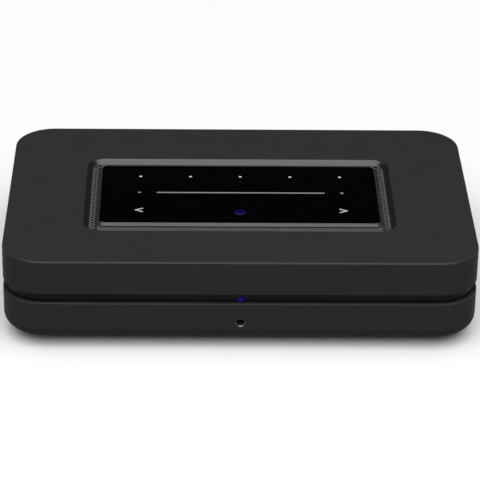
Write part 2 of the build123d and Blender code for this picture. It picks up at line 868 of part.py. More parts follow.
# Status light: a clear lens on a flange, its domed tip just past the band
with BuildPart() as status_light:
    with BuildSketch(Plane.XZ.offset(-front_board_y)):
        with Locations((0, band_z + led_height)):
            Circle(led_flange_radius)
    extrude(amount=led_flange)
    with BuildSketch(Plane.XZ.offset(-front_board_y)):
        with Locations((0, band_z + led_height)):
            Circle(led_radius)
    extrude(amount=front_board_y - front_y - band_inset + led_dome)
    fillet(status_light.faces().sort_by(Axis.Y)[0].edges(), led_dome)
status_light.part.label = "status_light"
export_step(status_light.part, "parts/status_light.step")

# Remote receiver: a block with a small dome, behind the dark band that lets infra-red through
receiver_depth = band_boss_depth - receiver_gap
with BuildPart() as remote_receiver:
    with BuildSketch(Plane.XZ.offset(-front_board_y)):
        with Locations((receiver_x, (band_z + cover_z) / 2)):
            Rectangle(receiver_size, receiver_size)
    extrude(amount=receiver_depth / 2)
    with BuildSketch(Plane.XZ.offset(-front_board_y + receiver_depth / 2)):
        with Locations((receiver_x, (band_z + cover_z) / 2)):
            Circle(receiver_dome)
    extrude(amount=receiver_depth / 2)
    chamfer(remote_receiver.faces().sort_by(Axis.Y)[0].edges(), receiver_bevel)
remote_receiver.part.label = "remote_receiver"
export_step(remote_receiver.part, "parts/remote_receiver.step")

# Flat cables: the panel's ribbon drops from the touch board, the flex hangs behind the front board
flex_y = front_board_y + front_board_thickness + flex_thickness / 2
flex_z = (band_z + cover_z) / 2 - front_board_height / 4
flex_end_y = flex_y + flex_run
with BuildPart() as flat_cables:
    with BuildSketch(Plane.XY.offset(board_top + ribbon_plug_height / 2)):
        with Locations((ribbon_x, recess_y)):
            Rectangle(ribbon_width, ribbon_thickness)
    extrude(amount=touch_board_z - board_top - ribbon_plug_height / 2)
    with BuildSketch(Plane.YZ.offset(flex_x - flex_width / 2)):
        with BuildLine() as flex_path:
            FilletPolyline(
                (flex_y, flex_z + flex_run / 2),
                (flex_y, flex_z - flex_run / 2),
                (flex_end_y, flex_z - flex_run / 2),
                (flex_end_y, board_top + flex_plug_height),
                radius=flex_bend)
        trace(flex_path.line, flex_thickness)
    extrude(amount=flex_width)
flat_cables.part.label = "flat_cables"
export_step(flat_cables.part, "parts/flat_cables.step")

with BuildPart() as cable_sockets:
    with BuildSketch(Plane.XY.offset(board_top)):
        with Locations((ribbon_x, recess_y)):
            Rectangle(ribbon_width + 2 * ribbon_slot_gap, ribbon_plug_depth)
    extrude(amount=ribbon_plug_height)
    with BuildSketch(Plane.XY.offset(board_top + ribbon_plug_height)):
        with Locations((ribbon_x, recess_y)):
            Rectangle(ribbon_width + 2 * nest_gap, ribbon_thickness + 2 * nest_gap)
    extrude(amount=-ribbon_plug_height / 2, mode=Mode.SUBTRACT)
    with BuildSketch(Plane.XY.offset(board_top)):
        with Locations((flex_x, flex_end_y)):
            Rectangle(flex_width + 2 * ribbon_slot_gap, flex_plug_depth)
    extrude(amount=flex_plug_height)
cable_sockets.part.label = "cable_sockets"
export_step(cable_sockets.part, "parts/cable_sockets.step")


# Headphone jack and the two rear jacks for 3.5 mm plugs
def jack(x, face_y, out, nose):
    """A jack body on the board, its nose pointing out along Y, with a bore for the plug."""
    plane = Plane((x, face_y, board_top + jack_height / 2), x_dir=(out, 0, 0), z_dir=(0, out, 0))
    with BuildPart() as body:
        with BuildSketch(plane):
            Rectangle(jack_width, jack_height)
        extrude(amount=-jack_length)
        if nose:
            with BuildSketch(plane):
                Circle(jack_nose_radius)
            extrude(amount=nose)
        with BuildSketch(plane.offset(nose)):
            Circle(jack_bore_radius)
        extrude(amount=-jack_length, mode=Mode.SUBTRACT)
    return body


headphone_jack = jack(0, cavity_front_y, -1, 0)
headphone_jack.part.label = "headphone_jack"
export_step(headphone_jack.part, "parts/headphone_jack.step")

with BuildPart() as rear_jacks:
    add(jack(line_jack_x, panel_inner_y, 1, panel_thickness + jack_nose_proud).part)
    add(jack(trigger_jack_x, panel_inner_y, 1, panel_thickness + jack_nose_proud).part)
rear_jacks.part.label = "rear_jacks"
export_step(rear_jacks.part, "parts/rear_jacks.step")

# Phono sockets: two moulded blocks, each with two barrels, inserts and contacts
phono_xs = (phono_pair_x, phono_stereo_x)
barrel_z = board_top + barrel_first
barrels = [(x, barrel_z + barrel_step * level) for x in phono_xs for level in range(2)]
rear_plane = Plane((0, panel_y, 0), x_dir=(1, 0, 0), z_dir=(0, -1, 0))
with BuildPart() as phono_blocks:
    with BuildSketch(Plane.XY.offset(board_top)):
        for phono_x in phono_xs:
            with Locations((phono_x, panel_inner_y - phono_depth / 2)):
                Rectangle(phono_width, phono_depth)
    extrude(amount=phono_height)
    with BuildSketch(rear_plane.offset(panel_thickness)):
        with Locations(*barrels):
            Circle(phono_collar_radius)
    extrude(amount=-panel_thickness - phono_collar)
    with BuildSketch(rear_plane.offset(-phono_collar)):
        with Locations(*barrels):
            Circle(barrel_radius - barrel_root_step + nest_gap)
    extrude(amount=panel_thickness + phono_collar, mode=Mode.SUBTRACT)
    phono_fixings = [(x, barrel_z + barrel_step / 2) for x in phono_xs]
    with BuildSketch(rear_plane.offset(panel_thickness)):
        with Locations(*phono_fixings):
            Circle(small_screw_radius + nest_gap)
    extrude(amount=small_screw_reach, mode=Mode.SUBTRACT)
phono_blocks.part.label = "phono_blocks"
export_step(phono_blocks.part, "parts/phono_blocks.step")

# The barrels have a thinner root inside the collar, so a plug's sleeve stops just short of it
barrel_start = phono_collar + barrel_root_gap
with BuildPart() as phono_barrels:
    with BuildSketch(rear_plane.offset(panel_thickness)):
        with Locations(*barrels):
            Circle(barrel_radius - barrel_root_step)
            Circle(barrel_radius - barrel_wall, mode=Mode.SUBTRACT)
    extrude(amount=-panel_thickness - barrel_start)
    with BuildSketch(rear_plane.offset(-barrel_start)):
        with Locations(*barrels):
            Circle(barrel_radius)
            Circle(barrel_radius - barrel_wall, mode=Mode.SUBTRACT)
    extrude(amount=barrel_start - barrel_length)
phono_barrels.part.label = "phono_barrels"
export_step(phono_barrels.part, "parts/phono_barrels.step")

contact_radius = contact_bore_radius + contact_wall
with BuildPart() as phono_inserts:
    with BuildSketch(rear_plane.offset(panel_thickness)):
        with Locations(*barrels):
            Circle(barrel_radius - barrel_wall - nest_gap)
            Circle(contact_radius + nest_gap, mode=Mode.SUBTRACT)
    extrude(amount=-panel_thickness - barrel_length + insert_recess)
phono_inserts.part.label = "phono_inserts"
export_step(phono_inserts.part, "parts/phono_inserts.step")

with BuildPart() as phono_contacts:
    with BuildSketch(rear_plane.offset(panel_thickness)):
        with Locations(*barrels):
            Circle(contact_radius)
            Circle(contact_bore_radius, mode=Mode.SUBTRACT)
    extrude(amount=-panel_thickness - barrel_length + insert_recess + contact_recess)
phono_contacts.part.label = "phono_contacts"
export_step(phono_contacts.part, "parts/phono_contacts.step")

# Optical socket: a moulded housing with a keyed mouth, and a pocket above where the open shutter lies
mouth_z = board_top + optical_sill
mouth_mid_z = mouth_z + optical_mouth / 2
mouth_top_z = mouth_z + optical_mouth
shutter_width = optical_mouth + 2 * shutter_lap
pocket_width = shutter_width + 2 * optical_side_gap
hinge_z = mouth_top_z + shutter_lap + shutter_knuckle_radius / 2
optical_face_y = panel_y + optical_proud
hinge_y = optical_face_y - optical_front - shutter_face_gap - shutter_knuckle_radius
pocket_z = mouth_z - shutter_lap
pocket_top_z = hinge_z + shutter_knuckle_radius + optical_roof_gap
optical_width = pocket_width + 2 * optical_wall
optical_top_z = pocket_top_z + optical_roof
with BuildPart() as optical_socket:
    with BuildSketch(Plane.XY.offset(board_top)):
        with Locations((optical_x, optical_face_y - optical_length / 2)):
            Rectangle(optical_width, optical_length)
    extrude(amount=optical_top_z - board_top)
    with BuildSketch(Plane.XY.offset(pocket_z)):
        with Locations((optical_x, optical_face_y - (optical_length + optical_front - optical_wall) / 2)):
            Rectangle(pocket_width, optical_length - optical_front - optical_wall)
    extrude(amount=pocket_top_z - pocket_z, mode=Mode.SUBTRACT)
    with BuildSketch(Plane.XZ.offset(-optical_face_y)) as mouth:
        with Locations((optical_x, mouth_mid_z)):
            Rectangle(optical_mouth, optical_mouth)
        chamfer(mouth.vertices().group_by(Axis.Y)[-1], optical_corner)
    extrude(amount=optical_front, mode=Mode.SUBTRACT)
    with BuildSketch(Plane.YZ.offset(optical_x - optical_width / 2)):
        with Locations((hinge_y, hinge_z)):
            Circle(shutter_pin_radius + nest_gap)
    extrude(amount=optical_width, mode=Mode.SUBTRACT)
optical_socket.part.label = "optical_socket"
export_step(optical_socket.part, "parts/optical_socket.step")

# Shutter: a flap that hangs from two knuckles on the hinge pin and swings inwards when a plug goes in
knuckle_length = shutter_width * shutter_knuckle_share
with BuildPart() as optical_shutter:
    with BuildSketch(Plane.YZ.offset(optical_x - shutter_width / 2)):
        with Locations((hinge_y + shutter_knuckle_radius - shutter_thickness / 2,
                        (hinge_z + pocket_z + shutter_foot_gap) / 2)):
            Rectangle(shutter_thickness, hinge_z - pocket_z - shutter_foot_gap)
    extrude(amount=shutter_width)
    chamfer(optical_shutter.edges().filter_by(Axis.X).group_by(Axis.Z)[0], shutter_bevel)
    with BuildSketch(Plane.YZ.offset(optical_x - shutter_width / 2)):
        with Locations((hinge_y, hinge_z)):
            Circle(shutter_knuckle_radius)
    extrude(amount=shutter_width)
    with BuildSketch(Plane.YZ.offset(optical_x - shutter_width / 2)):
        with Locations((hinge_y, hinge_z)):
            Circle(shutter_pin_radius + hinge_gap)
    extrude(amount=shutter_width, mode=Mode.SUBTRACT)
    with BuildSketch(Plane.YZ.offset(optical_x - shutter_width / 2 + knuckle_length)):
        with Locations((hinge_y, hinge_z)):
            Rectangle(2 * shutter_knuckle_radius + shutter_bevel, 2 * shutter_knuckle_radius + shutter_bevel)
    extrude(amount=shutter_width - 2 * knuckle_length, mode=Mode.SUBTRACT)
optical_shutter.part.label = "optical_shutter"
export_step(optical_shutter.part, "parts/optical_shutter.step")

with BuildPart() as shutter_pin:
    with BuildSketch(Plane.YZ.offset(optical_x - optical_width / 2)):
        with Locations((hinge_y, hinge_z)):
            Circle(shutter_pin_radius)
    extrude(amount=optical_width)
shutter_pin.part.label = "shutter_pin"
export_step(shutter_pin.part, "parts/shutter_pin.step")

# Shutter spring: a sleeve of closed turns on the pin between the knuckles, its fixed leg against the roof
spring_length = shutter_width - 2 * knuckle_length - 2 * hinge_gap
with BuildPart() as shutter_spring:
    with BuildSketch(Plane.YZ.offset(optical_x - spring_length / 2)):
        with Locations((hinge_y, hinge_z)):
            Circle(shutter_pin_radius + nest_gap + spring_wire)
            Circle(shutter_pin_radius + nest_gap, mode=Mode.SUBTRACT)
    extrude(amount=spring_length)
    with BuildSketch(Plane.XZ.offset(-hinge_y)):
        with Locations((optical_x, (hinge_z + shutter_pin_radius + pocket_top_z + spring_wire) / 2)):
            Rectangle(spring_wire, pocket_top_z - hinge_z - shutter_pin_radius - spring_wire)
    extrude(amount=spring_wire)
shutter_spring.part.label = "shutter_spring"
export_step(shutter_spring.part, "parts/shutter_spring.step")

# USB socket: a folded metal shell with a plastic tongue
usb_z = board_top + usb_lift + usb_height / 2
socket_face_y = panel_y + socket_proud
with BuildPart() as usb_shell:
    with BuildSketch(Plane.XZ.offset(-socket_face_y)):
        with Locations((usb_x, usb_z)):
            Rectangle(usb_width, usb_height)
            Rectangle(usb_width - 2 * usb_wall, usb_height - 2 * usb_wall, mode=Mode.SUBTRACT)
    extrude(amount=usb_length)
    with BuildSketch(Plane.XY.offset(board_top)):
        with Locations((usb_x, socket_face_y - usb_length + socket_back / 2)):
            Rectangle(usb_width, socket_back)
    extrude(amount=usb_height + usb_lift)
usb_shell.part.label = "usb_shell"
export_step(usb_shell.part, "parts/usb_shell.step")


# Digital video socket: the mouth is wider at the top than at the bottom
def bevelled_mouth(width, height, bevel):
    """Outline of the digital video socket, centred on zero."""
    with BuildSketch(Plane.XY) as outline:
        Rectangle(width, height)
        chamfer(outline.vertices().group_by(Axis.Y)[0], bevel)
    return outline.sketch


video_z = board_top + video_lift + video_height / 2
video_plane = Plane((video_x, socket_face_y, video_z), x_dir=(1, 0, 0), z_dir=(0, -1, 0))
video_outer = bevelled_mouth(video_width, video_height, video_bevel)
video_inner = bevelled_mouth(
    video_width - 2 * video_wall, video_height - 2 * video_wall, video_bevel - video_wall / 2)
with BuildPart() as video_shell:
    with BuildSketch(video_plane):
        add(video_outer)
        add(video_inner, mode=Mode.SUBTRACT)
    extrude(amount=video_length)
    with BuildSketch(Plane.XY.offset(board_top)):
        with Locations((video_x, socket_face_y - video_length + socket_back / 2)):
            Rectangle(video_width, socket_back)
    extrude(amount=video_height + video_lift)
video_shell.part.label = "video_shell"
export_step(video_shell.part, "parts/video_shell.step")

# Tongues that carry the contacts of the two folded sockets
with BuildPart() as socket_tongues:
    with BuildSketch(Plane.XZ.offset(-socket_face_y + usb_length - socket_back)):
        with Locations((usb_x, usb_z + usb_height / 2 - usb_wall - usb_tongue_height)):
            Rectangle(usb_tongue_width, usb_tongue_height)
    extrude(amount=-usb_tongue_length)
    with BuildSketch(Plane.XZ.offset(-socket_face_y + video_length - socket_back)):
        with Locations((video_x, video_z)):
            Rectangle(video_tongue_width, video_tongue_height)
    extrude(amount=-video_tongue_length)
socket_tongues.part.label = "socket_tongues"
export_step(socket_tongues.part, "parts/socket_tongues.step")

# Ethernet socket: a shielded block with a keyed mouth, latch up, and eight spring contacts below
ethernet_mouth_z = board_top + ethernet_sill
ethernet_mid_z = ethernet_mouth_z + ethernet_mouth_height / 2
with BuildPart() as ethernet_port:
    with BuildSketch(Plane.XY.offset(board_top)):
        with Locations((ethernet_x, socket_face_y - ethernet_length / 2)):
            Rectangle(ethernet_width, ethernet_length)
    extrude(amount=ethernet_height)
    with BuildSketch(Plane.XZ.offset(-socket_face_y)):
        with Locations((ethernet_x, ethernet_mid_z)):
            Rectangle(ethernet_mouth_width, ethernet_mouth_height)
        with Locations((ethernet_x, ethernet_mid_z + (ethernet_mouth_height + ethernet_key_height) / 2)):
            Rectangle(ethernet_key_width, ethernet_key_height)
    extrude(amount=ethernet_mouth_depth, mode=Mode.SUBTRACT)
ethernet_port.part.label = "ethernet_port"
export_step(ethernet_port.part, "parts/ethernet_port.step")

with BuildPart() as ethernet_contacts:
    contact_back_y = socket_face_y - ethernet_mouth_depth
    contact_first_x = ethernet_x - ethernet_contact_pitch * (ethernet_contact_count - 1) / 2
    with BuildSketch(Plane.YZ.offset(contact_first_x - ethernet_contact / 2)):
        with BuildLine():
            Polyline(
                (contact_back_y, ethernet_mouth_z),
                (contact_back_y + ethernet_contact_length, ethernet_mouth_z),
                (contact_back_y, ethernet_mouth_z + ethernet_contact_rise),
                close=True)
        make_face()
    extrude(amount=ethernet_contact)
    first = ethernet_contacts.part
    for i in range(1, ethernet_contact_count):
        add(Pos(ethernet_contact_pitch * i, 0, 0) * first)
ethernet_contacts.part.label = "ethernet_contacts"
export_step(ethernet_contacts.part, "parts/ethernet_contacts.step")

# Mains inlet: a moulded block with a figure-of-eight well and two round pins
inlet_mid_z = board_top + inlet_body_height / 2
inlet_face_y = panel_y + inlet_flange
with BuildPart() as mains_inlet:
    with BuildSketch(Plane.XY.offset(board_top)):
        with Locations((inlet_x, inlet_face_y - inlet_length / 2)):
            Rectangle(inlet_body_width, inlet_length)
    extrude(amount=inlet_body_height)
    with BuildSketch(Plane.XZ.offset(-inlet_face_y)):
        with Locations((inlet_x, inlet_mid_z)):
            RectangleRounded(inlet_flange_width, inlet_flange_height, inlet_flange_radius)
    extrude(amount=inlet_flange)
    with BuildSketch(Plane.XZ.offset(-inlet_face_y)):
        with Locations((inlet_x, inlet_mid_z)):
            with GridLocations(inlet_pin_pitch, inlet_pin_pitch, 2, 1):
                Circle(inlet_lobe_radius)
            Rectangle(inlet_pin_pitch, inlet_waist)
    extrude(amount=inlet_depth, mode=Mode.SUBTRACT)
    with BuildSketch(Plane.XZ.offset(-inlet_face_y + inlet_depth)):
        with Locations((inlet_x, inlet_mid_z)):
            with GridLocations(inlet_pin_pitch, inlet_pin_pitch, 2, 1):
                Circle(inlet_pin_radius + nest_gap)
    extrude(amount=inlet_pin_root, mode=Mode.SUBTRACT)
mains_inlet.part.label = "mains_inlet"
export_step(mains_inlet.part, "parts/mains_inlet.step")

with BuildPart() as inlet_pins:
    with BuildSketch(Plane.XZ.offset(-inlet_face_y + inlet_depth + inlet_pin_root)):
        with Locations((inlet_x, inlet_mid_z)):
            with GridLocations(inlet_pin_pitch, inlet_pin_pitch, 2, 1):
                Circle(inlet_pin_radius)
    extrude(amount=-inlet_pin_root - inlet_pin_length)
    chamfer(inlet_pins.faces().sort_by(Axis.Y)[-2:].edges(), inlet_pin_radius / 2)
inlet_pins.part.label = "inlet_pins"
export_step(inlet_pins.part, "parts/inlet_pins.step")

# Rear panels: two plates behind the rear window, one for the signal sockets and one for network and mains
panel_joint_x = (video_x + video_width / 2 + ethernet_x - ethernet_width / 2) / 2
panel_mid_z = (panel_foot_z + panel_top_z) / 2
with BuildPart() as rear_panel:
    with BuildSketch(Plane.XZ.offset(-panel_y)):
        with Locations(((panel_joint_x - panel_width / 2) / 2, panel_mid_z)):
            Rectangle(panel_joint_x + panel_width / 2, panel_top_z - panel_foot_z)
        with Locations(*barrels):
            Circle(phono_collar_radius + cutout_gap, mode=Mode.SUBTRACT)
        with Locations(*phono_fixings):
            Circle(small_screw_radius + cutout_gap, mode=Mode.SUBTRACT)
        jack_places = [(x, board_top + jack_height / 2) for x in (line_jack_x, trigger_jack_x)]
        with Locations(*jack_places):
            Circle(jack_nose_radius + cutout_gap, mode=Mode.SUBTRACT)
        signal_cuts = [
            (optical_x, board_top, optical_width, optical_top_z - board_top),
            (usb_x, usb_z - usb_height / 2, usb_width, usb_height),
            (video_x, video_z - video_height / 2, video_width, video_height),
        ]
        for cut_x, cut_z, cut_width, cut_height in signal_cuts:
            with Locations((cut_x, cut_z + cut_height / 2)):
                Rectangle(cut_width + 2 * cutout_gap, cut_height + 2 * cutout_gap, mode=Mode.SUBTRACT)
    extrude(amount=panel_thickness)
rear_panel.part.label = "rear_panel"
export_step(rear_panel.part, "parts/rear_panel.step")

with BuildPart() as power_panel:
    with BuildSketch(Plane.XZ.offset(-panel_y)):
        with Locations(((panel_joint_x + nest_gap + panel_width / 2) / 2, panel_mid_z)):
            Rectangle(panel_width / 2 - panel_joint_x - nest_gap, panel_top_z - panel_foot_z)
        power_cuts = [
            (ethernet_x, ethernet_width, ethernet_height),
            (inlet_x, inlet_body_width, inlet_body_height),
        ]
        for cut_x, cut_width, cut_height in power_cuts:
            with Locations((cut_x, board_top + cut_height / 2)):
                Rectangle(cut_width + 2 * cutout_gap, cut_height + 2 * cutout_gap, mode=Mode.SUBTRACT)
    extrude(amount=panel_thickness)
power_panel.part.label = "power_panel"
export_step(power_panel.part, "parts/power_panel.step")

with BuildPart() as rear_screws:
    with BuildSketch(rear_plane):
        with Locations(*phono_fixings):
            Circle(small_screw_radius)
    extrude(amount=panel_thickness + small_screw_reach)
    with BuildSketch(rear_plane):
        with Locations(*phono_fixings):
            Circle(small_head_radius)
    extrude(amount=-small_head_height)
    with BuildSketch(rear_plane.offset(-small_head_height)):
        with Locations(*phono_fixings):
            RegularPolygon(small_socket_radius, 6)
    extrude(amount=small_socket_depth, mode=Mode.SUBTRACT)
rear_screws.part.label = "rear_screws"
export_step(rear_screws.part, "parts/rear_screws.step")


def on_power_board(shares):
    """A place on the power board from its shares of width and depth."""
    return power_left + power_width * shares[0], board_front + board_depth * shares[1]


# Switch-mode transformer: a ferrite frame with two windows and the wound bobbin on its middle limb
core_x, core_y = on_power_board(core_shares)
core_window = (core_width - core_centre - 2 * core_limb) / 2
with BuildPart() as transformer_core:
    with BuildSketch(Plane.XZ.offset(-core_y - core_depth / 2)):
        with Locations((core_x, board_top + core_height / 2)):
            Rectangle(core_width, core_height)
            with GridLocations(core_centre + core_window, core_height, 2, 1):
                Rectangle(core_window, core_height - 2 * core_limb, mode=Mode.SUBTRACT)
    extrude(amount=core_depth)
transformer_core.part.label = "transformer_core"
export_step(transformer_core.part, "parts/transformer_core.step")

with BuildPart() as transformer_winding:
    with BuildSketch(Plane.XY.offset(board_top + core_limb + winding_gap)):
        with Locations((core_x, core_y)):
            RectangleRounded(
                core_centre + 2 * winding_build, core_depth + 2 * winding_build, winding_radius)
            Rectangle(core_centre + 2 * winding_gap, core_depth + 2 * winding_gap, mode=Mode.SUBTRACT)
    extrude(amount=core_height - 2 * core_limb - 2 * winding_gap)
transformer_winding.part.label = "transformer_winding"
export_step(transformer_winding.part, "parts/transformer_winding.step")


def cans(places, radius, height):
    """Upright round capacitors on the board, each with a bevelled top."""
    with BuildPart() as body:
        with BuildSketch(Plane.XY.offset(board_top)):
            with Locations(*places):
                RegularPolygon(radius, small_flat_count)
        extrude(amount=height)
        chamfer(body.faces().filter_by(Axis.Z).group_by(Axis.Z)[-1].edges(), can_bevel)
    return body


bulk_capacitor = cans([on_power_board(bulk_shares)], bulk_radius, bulk_height)
bulk_capacitor.part.label = "bulk_capacitor"
export_step(bulk_capacitor.part, "parts/bulk_capacitor.step")

output_places = [on_power_board(shares) for shares in output_shares]
output_capacitors = cans(output_places, output_radius, output_height)
output_capacitors.part.label = "output_capacitors"
export_step(output_capacitors.part, "parts/output_capacitors.step")

# Line choke: a squared ferrite ring on its edge with a coil on its crosswise hole
choke_x, choke_y = on_power_board(choke_shares)
with BuildPart() as line_choke:
    with BuildSketch(Plane.XZ.offset(-choke_y - choke_depth / 2)):
        with Locations((choke_x, board_top + choke_height / 2)):
            RectangleRounded(choke_width, choke_height, choke_hole_radius)
            Circle(choke_hole_radius, mode=Mode.SUBTRACT)
    extrude(amount=choke_depth)
line_choke.part.label = "line_choke"
export_step(line_choke.part, "parts/line_choke.step")

# Fuse in its two clips
fuse_x, fuse_y = on_power_board(fuse_shares)
fuse_z = board_top + fuse_lift + fuse_radius
with BuildPart() as fuse:
    with BuildSketch(Plane.XZ.offset(-fuse_y - fuse_length / 2)):
        with Locations((fuse_x, fuse_z)):
            Circle(fuse_glass_radius)
    extrude(amount=fuse_length)
    with BuildSketch(Plane.XZ.offset(-fuse_y - fuse_length / 2)):
        with Locations((fuse_x, fuse_z)):
            Circle(fuse_radius)
    extrude(amount=fuse_cap)
    with BuildSketch(Plane.XZ.offset(-fuse_y + fuse_length / 2)):
        with Locations((fuse_x, fuse_z)):
            Circle(fuse_radius)
    extrude(amount=-fuse_cap)
fuse.part.label = "fuse"
export_step(fuse.part, "parts/fuse.step")

with BuildPart() as fuse_clips:
    for end in (-1, 1):
        with BuildSketch(Plane.XZ.offset(-fuse_y - end * (fuse_length - fuse_cap) / 2 - holder_length / 2)):
            with Locations((fuse_x, board_top + (fuse_lift + fuse_radius) / 2)):
                Rectangle(2 * fuse_radius + holder_width / 2, fuse_lift + fuse_radius)
            with Locations((fuse_x, fuse_z)):
                Circle(fuse_radius + nest_gap, mode=Mode.SUBTRACT)
        extrude(amount=holder_length)
fuse_clips.part.label = "fuse_clips"
export_step(fuse_clips.part, "parts/fuse_clips.step")

# Rectifier heat sink: an upright finned bar
sink_x, sink_y = on_power_board(sink_shares)
with BuildPart() as rectifier_sink:
    with BuildSketch(Plane.XY.offset(board_top)):
        with Locations((sink_x, sink_y)):
            Rectangle(sink_length, sink_base)
        fin_step = (sink_length - sink_fin) / (sink_fin_count - 1)
        with Locations((sink_x, sink_y + sink_fin_depth / 2)):
            with GridLocations(fin_step, fin_step, sink_fin_count, 1):
                Rectangle(sink_fin, sink_fin_depth)
    extrude(amount=sink_height)
rectifier_sink.part.label = "rectifier_sink"
export_step(rectifier_sink.part, "parts/rectifier_sink.step")

# Power link: a flat jumper that bridges the two boards, with its two plugs moulded on
link_y = board_front + board_depth * link_share
link_ends = (main_right - link_plug_width, power_left + link_plug_width)
link_low = board_top + link_plug_height
with BuildPart() as power_link:
    with BuildSketch(Plane.XY.offset(board_top)):
        with Locations(*[(x, link_y) for x in link_ends]):
            Rectangle(link_plug_width, link_width + 2 * ribbon_slot_gap)
    extrude(amount=link_plug_height)
    with BuildSketch(Plane.XZ.offset(-link_y - link_width / 2)):
        with BuildLine() as link_path:
            FilletPolyline(
                (link_ends[0], link_low - link_thickness),
                (link_ends[0], link_low + link_rise),
                (link_ends[1], link_low + link_rise),
                (link_ends[1], link_low - link_thickness),
                radius=link_bend)
        trace(link_path.line, link_thickness)
    extrude(amount=link_width)
power_link.part.label = "power_link"
export_step(power_link.part, "parts/power_link.step")

# Processor, thermal pad and finned heat sink
with BuildPart() as processor:
    with BuildSketch(Plane.XY.offset(board_top)):
        with Locations((chip_x, chip_y)):
            Rectangle(chip_size, chip_size)
    extrude(amount=chip_height)
processor.part.label = "processor"
export_step(processor.part, "parts/processor.step")

with BuildPart() as thermal_pad:
    with BuildSketch(Plane.XY.offset(board_top + chip_height)):
        with Locations((chip_x, chip_y)):
            Rectangle(chip_size - chip_height, chip_size - chip_height)
    extrude(amount=pad_thickness)
thermal_pad.part.label = "thermal_pad"
export_step(thermal_pad.part, "parts/thermal_pad.step")

with BuildPart() as heat_sink:
    cooler_z = board_top + chip_height + pad_thickness
    with BuildSketch(Plane.XY.offset(cooler_z)):
        with Locations((chip_x, chip_y)):
            Rectangle(cooler_size, cooler_size)
    extrude(amount=cooler_base)
    cooler_step = (cooler_size - cooler_fin) / (cooler_fin_count - 1)
    with BuildSketch(Plane.XY.offset(cooler_z + cooler_base)):
        with Locations((chip_x, chip_y)):
            with GridLocations(cooler_step, cooler_step, cooler_fin_count, 1):
                Rectangle(cooler_fin, cooler_size)
    extrude(amount=cooler_height - cooler_base)
heat_sink.part.label = "heat_sink"
export_step(heat_sink.part, "parts/heat_sink.step")

# Memory chips beside the heat sink
memory_x = chip_x + cooler_size / 2 + memory_width
with BuildPart() as memory_chips:
    with BuildSketch(Plane.XY.offset(board_top)):
        with Locations((memory_x, chip_y)):
            with GridLocations(memory_pitch, memory_pitch, 1, 2):
                Rectangle(memory_width, memory_length)
    extrude(amount=memory_height)
memory_chips.part.label = "memory_chips"
export_step(memory_chips.part, "parts/memory_chips.step")

# Radio module: its small board with the shield can soldered on
with BuildPart() as radio_module:
    with BuildSketch(Plane.XY.offset(board_top)):
        with Locations((radio_x, radio_y)):
            Rectangle(radio_width, radio_length)
    extrude(amount=radio_board)
    with BuildSketch(Plane.XY.offset(board_top + radio_board)):
        with Locations((radio_x, radio_y)):
            Rectangle(radio_width - 2 * radio_can_inset, radio_length - 2 * radio_can_inset)
    extrude(amount=radio_can_height)
radio_module.part.label = "radio_module"
export_step(radio_module.part, "parts/radio_module.step")

# Sound converter, clocks and their small capacitors, near the phono sockets
converter_x = (phono_pair_x + phono_stereo_x) / 2
converter_y = panel_inner_y - phono_depth - 2 * dac_size
with BuildPart() as sound_converter:
    with BuildSketch(Plane.XY.offset(board_top)):
        with Locations((converter_x, converter_y)):
            Rectangle(dac_size, dac_size)
    extrude(amount=dac_height)
sound_converter.part.label = "sound_converter"
export_step(sound_converter.part, "parts/sound_converter.step")

with BuildPart() as clock_crystals:
    with BuildSketch(Plane.XY.offset(board_top)):
        with Locations((converter_x + 2 * dac_size, converter_y)):
            with GridLocations(2 * crystal_width, crystal_length, 2, 1):
                SlotOverall(crystal_length, crystal_width, rotation=90)
    extrude(amount=crystal_height)
clock_crystals.part.label = "clock_crystals"
export_step(clock_crystals.part, "parts/clock_crystals.step")

sound_can_y = panel_inner_y - phono_depth - can_radius - board_gap
sound_places = [(converter_x + small_can_pitch * (i - (small_can_count - 1) / 2), sound_can_y)
                for i in range(small_can_count)]
sound_capacitors = cans(sound_places, can_radius, small_can_height)
sound_capacitors.part.label = "sound_capacitors"
export_step(sound_capacitors.part, "parts/sound_capacitors.step")

# Antennas: thin strips on the inner face of the band, one on each side
antenna_x = cavity_width / 2 - lip_inset
antenna_z = band_z - lip_reach + antenna_margin
antenna_height = band_height + 2 * lip_reach - 2 * antenna_margin
with BuildPart() as antennas:
    for side in (-1, 1):
        with BuildSketch(Plane.YZ.offset(side * (antenna_x - antenna_thickness / 2) - antenna_thickness / 2)):
            with Locations((body_y, antenna_z + antenna_height / 2)):
                Rectangle(antenna_length, antenna_height)
        extrude(amount=antenna_thickness)
antennas.part.label = "antennas"
export_step(antennas.part, "parts/antennas.step")
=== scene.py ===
import json
import math

import bmesh
import bpy
from mathutils import Euler, Matrix, Vector


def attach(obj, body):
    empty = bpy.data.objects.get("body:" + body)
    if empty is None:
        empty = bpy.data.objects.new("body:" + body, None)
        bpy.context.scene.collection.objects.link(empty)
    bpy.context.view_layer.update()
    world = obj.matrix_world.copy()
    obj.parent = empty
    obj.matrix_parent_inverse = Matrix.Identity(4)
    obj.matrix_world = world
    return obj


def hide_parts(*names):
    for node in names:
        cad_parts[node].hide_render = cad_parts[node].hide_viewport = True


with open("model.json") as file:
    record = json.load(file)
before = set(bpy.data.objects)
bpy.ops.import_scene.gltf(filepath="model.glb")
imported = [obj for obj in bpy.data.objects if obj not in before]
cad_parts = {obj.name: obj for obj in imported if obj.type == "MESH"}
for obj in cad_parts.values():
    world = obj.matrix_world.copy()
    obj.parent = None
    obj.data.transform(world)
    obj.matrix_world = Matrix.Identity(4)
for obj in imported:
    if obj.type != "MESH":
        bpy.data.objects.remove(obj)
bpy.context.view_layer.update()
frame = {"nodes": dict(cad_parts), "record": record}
mm = 0.001
# in millimetres: how far a cutter reaches past the face it starts from, and an offset too small to be seen
past = 6.0
hair = 0.001
print("frame loaded,", len(frame["nodes"]), "nodes")


# picking and editing, as by hand

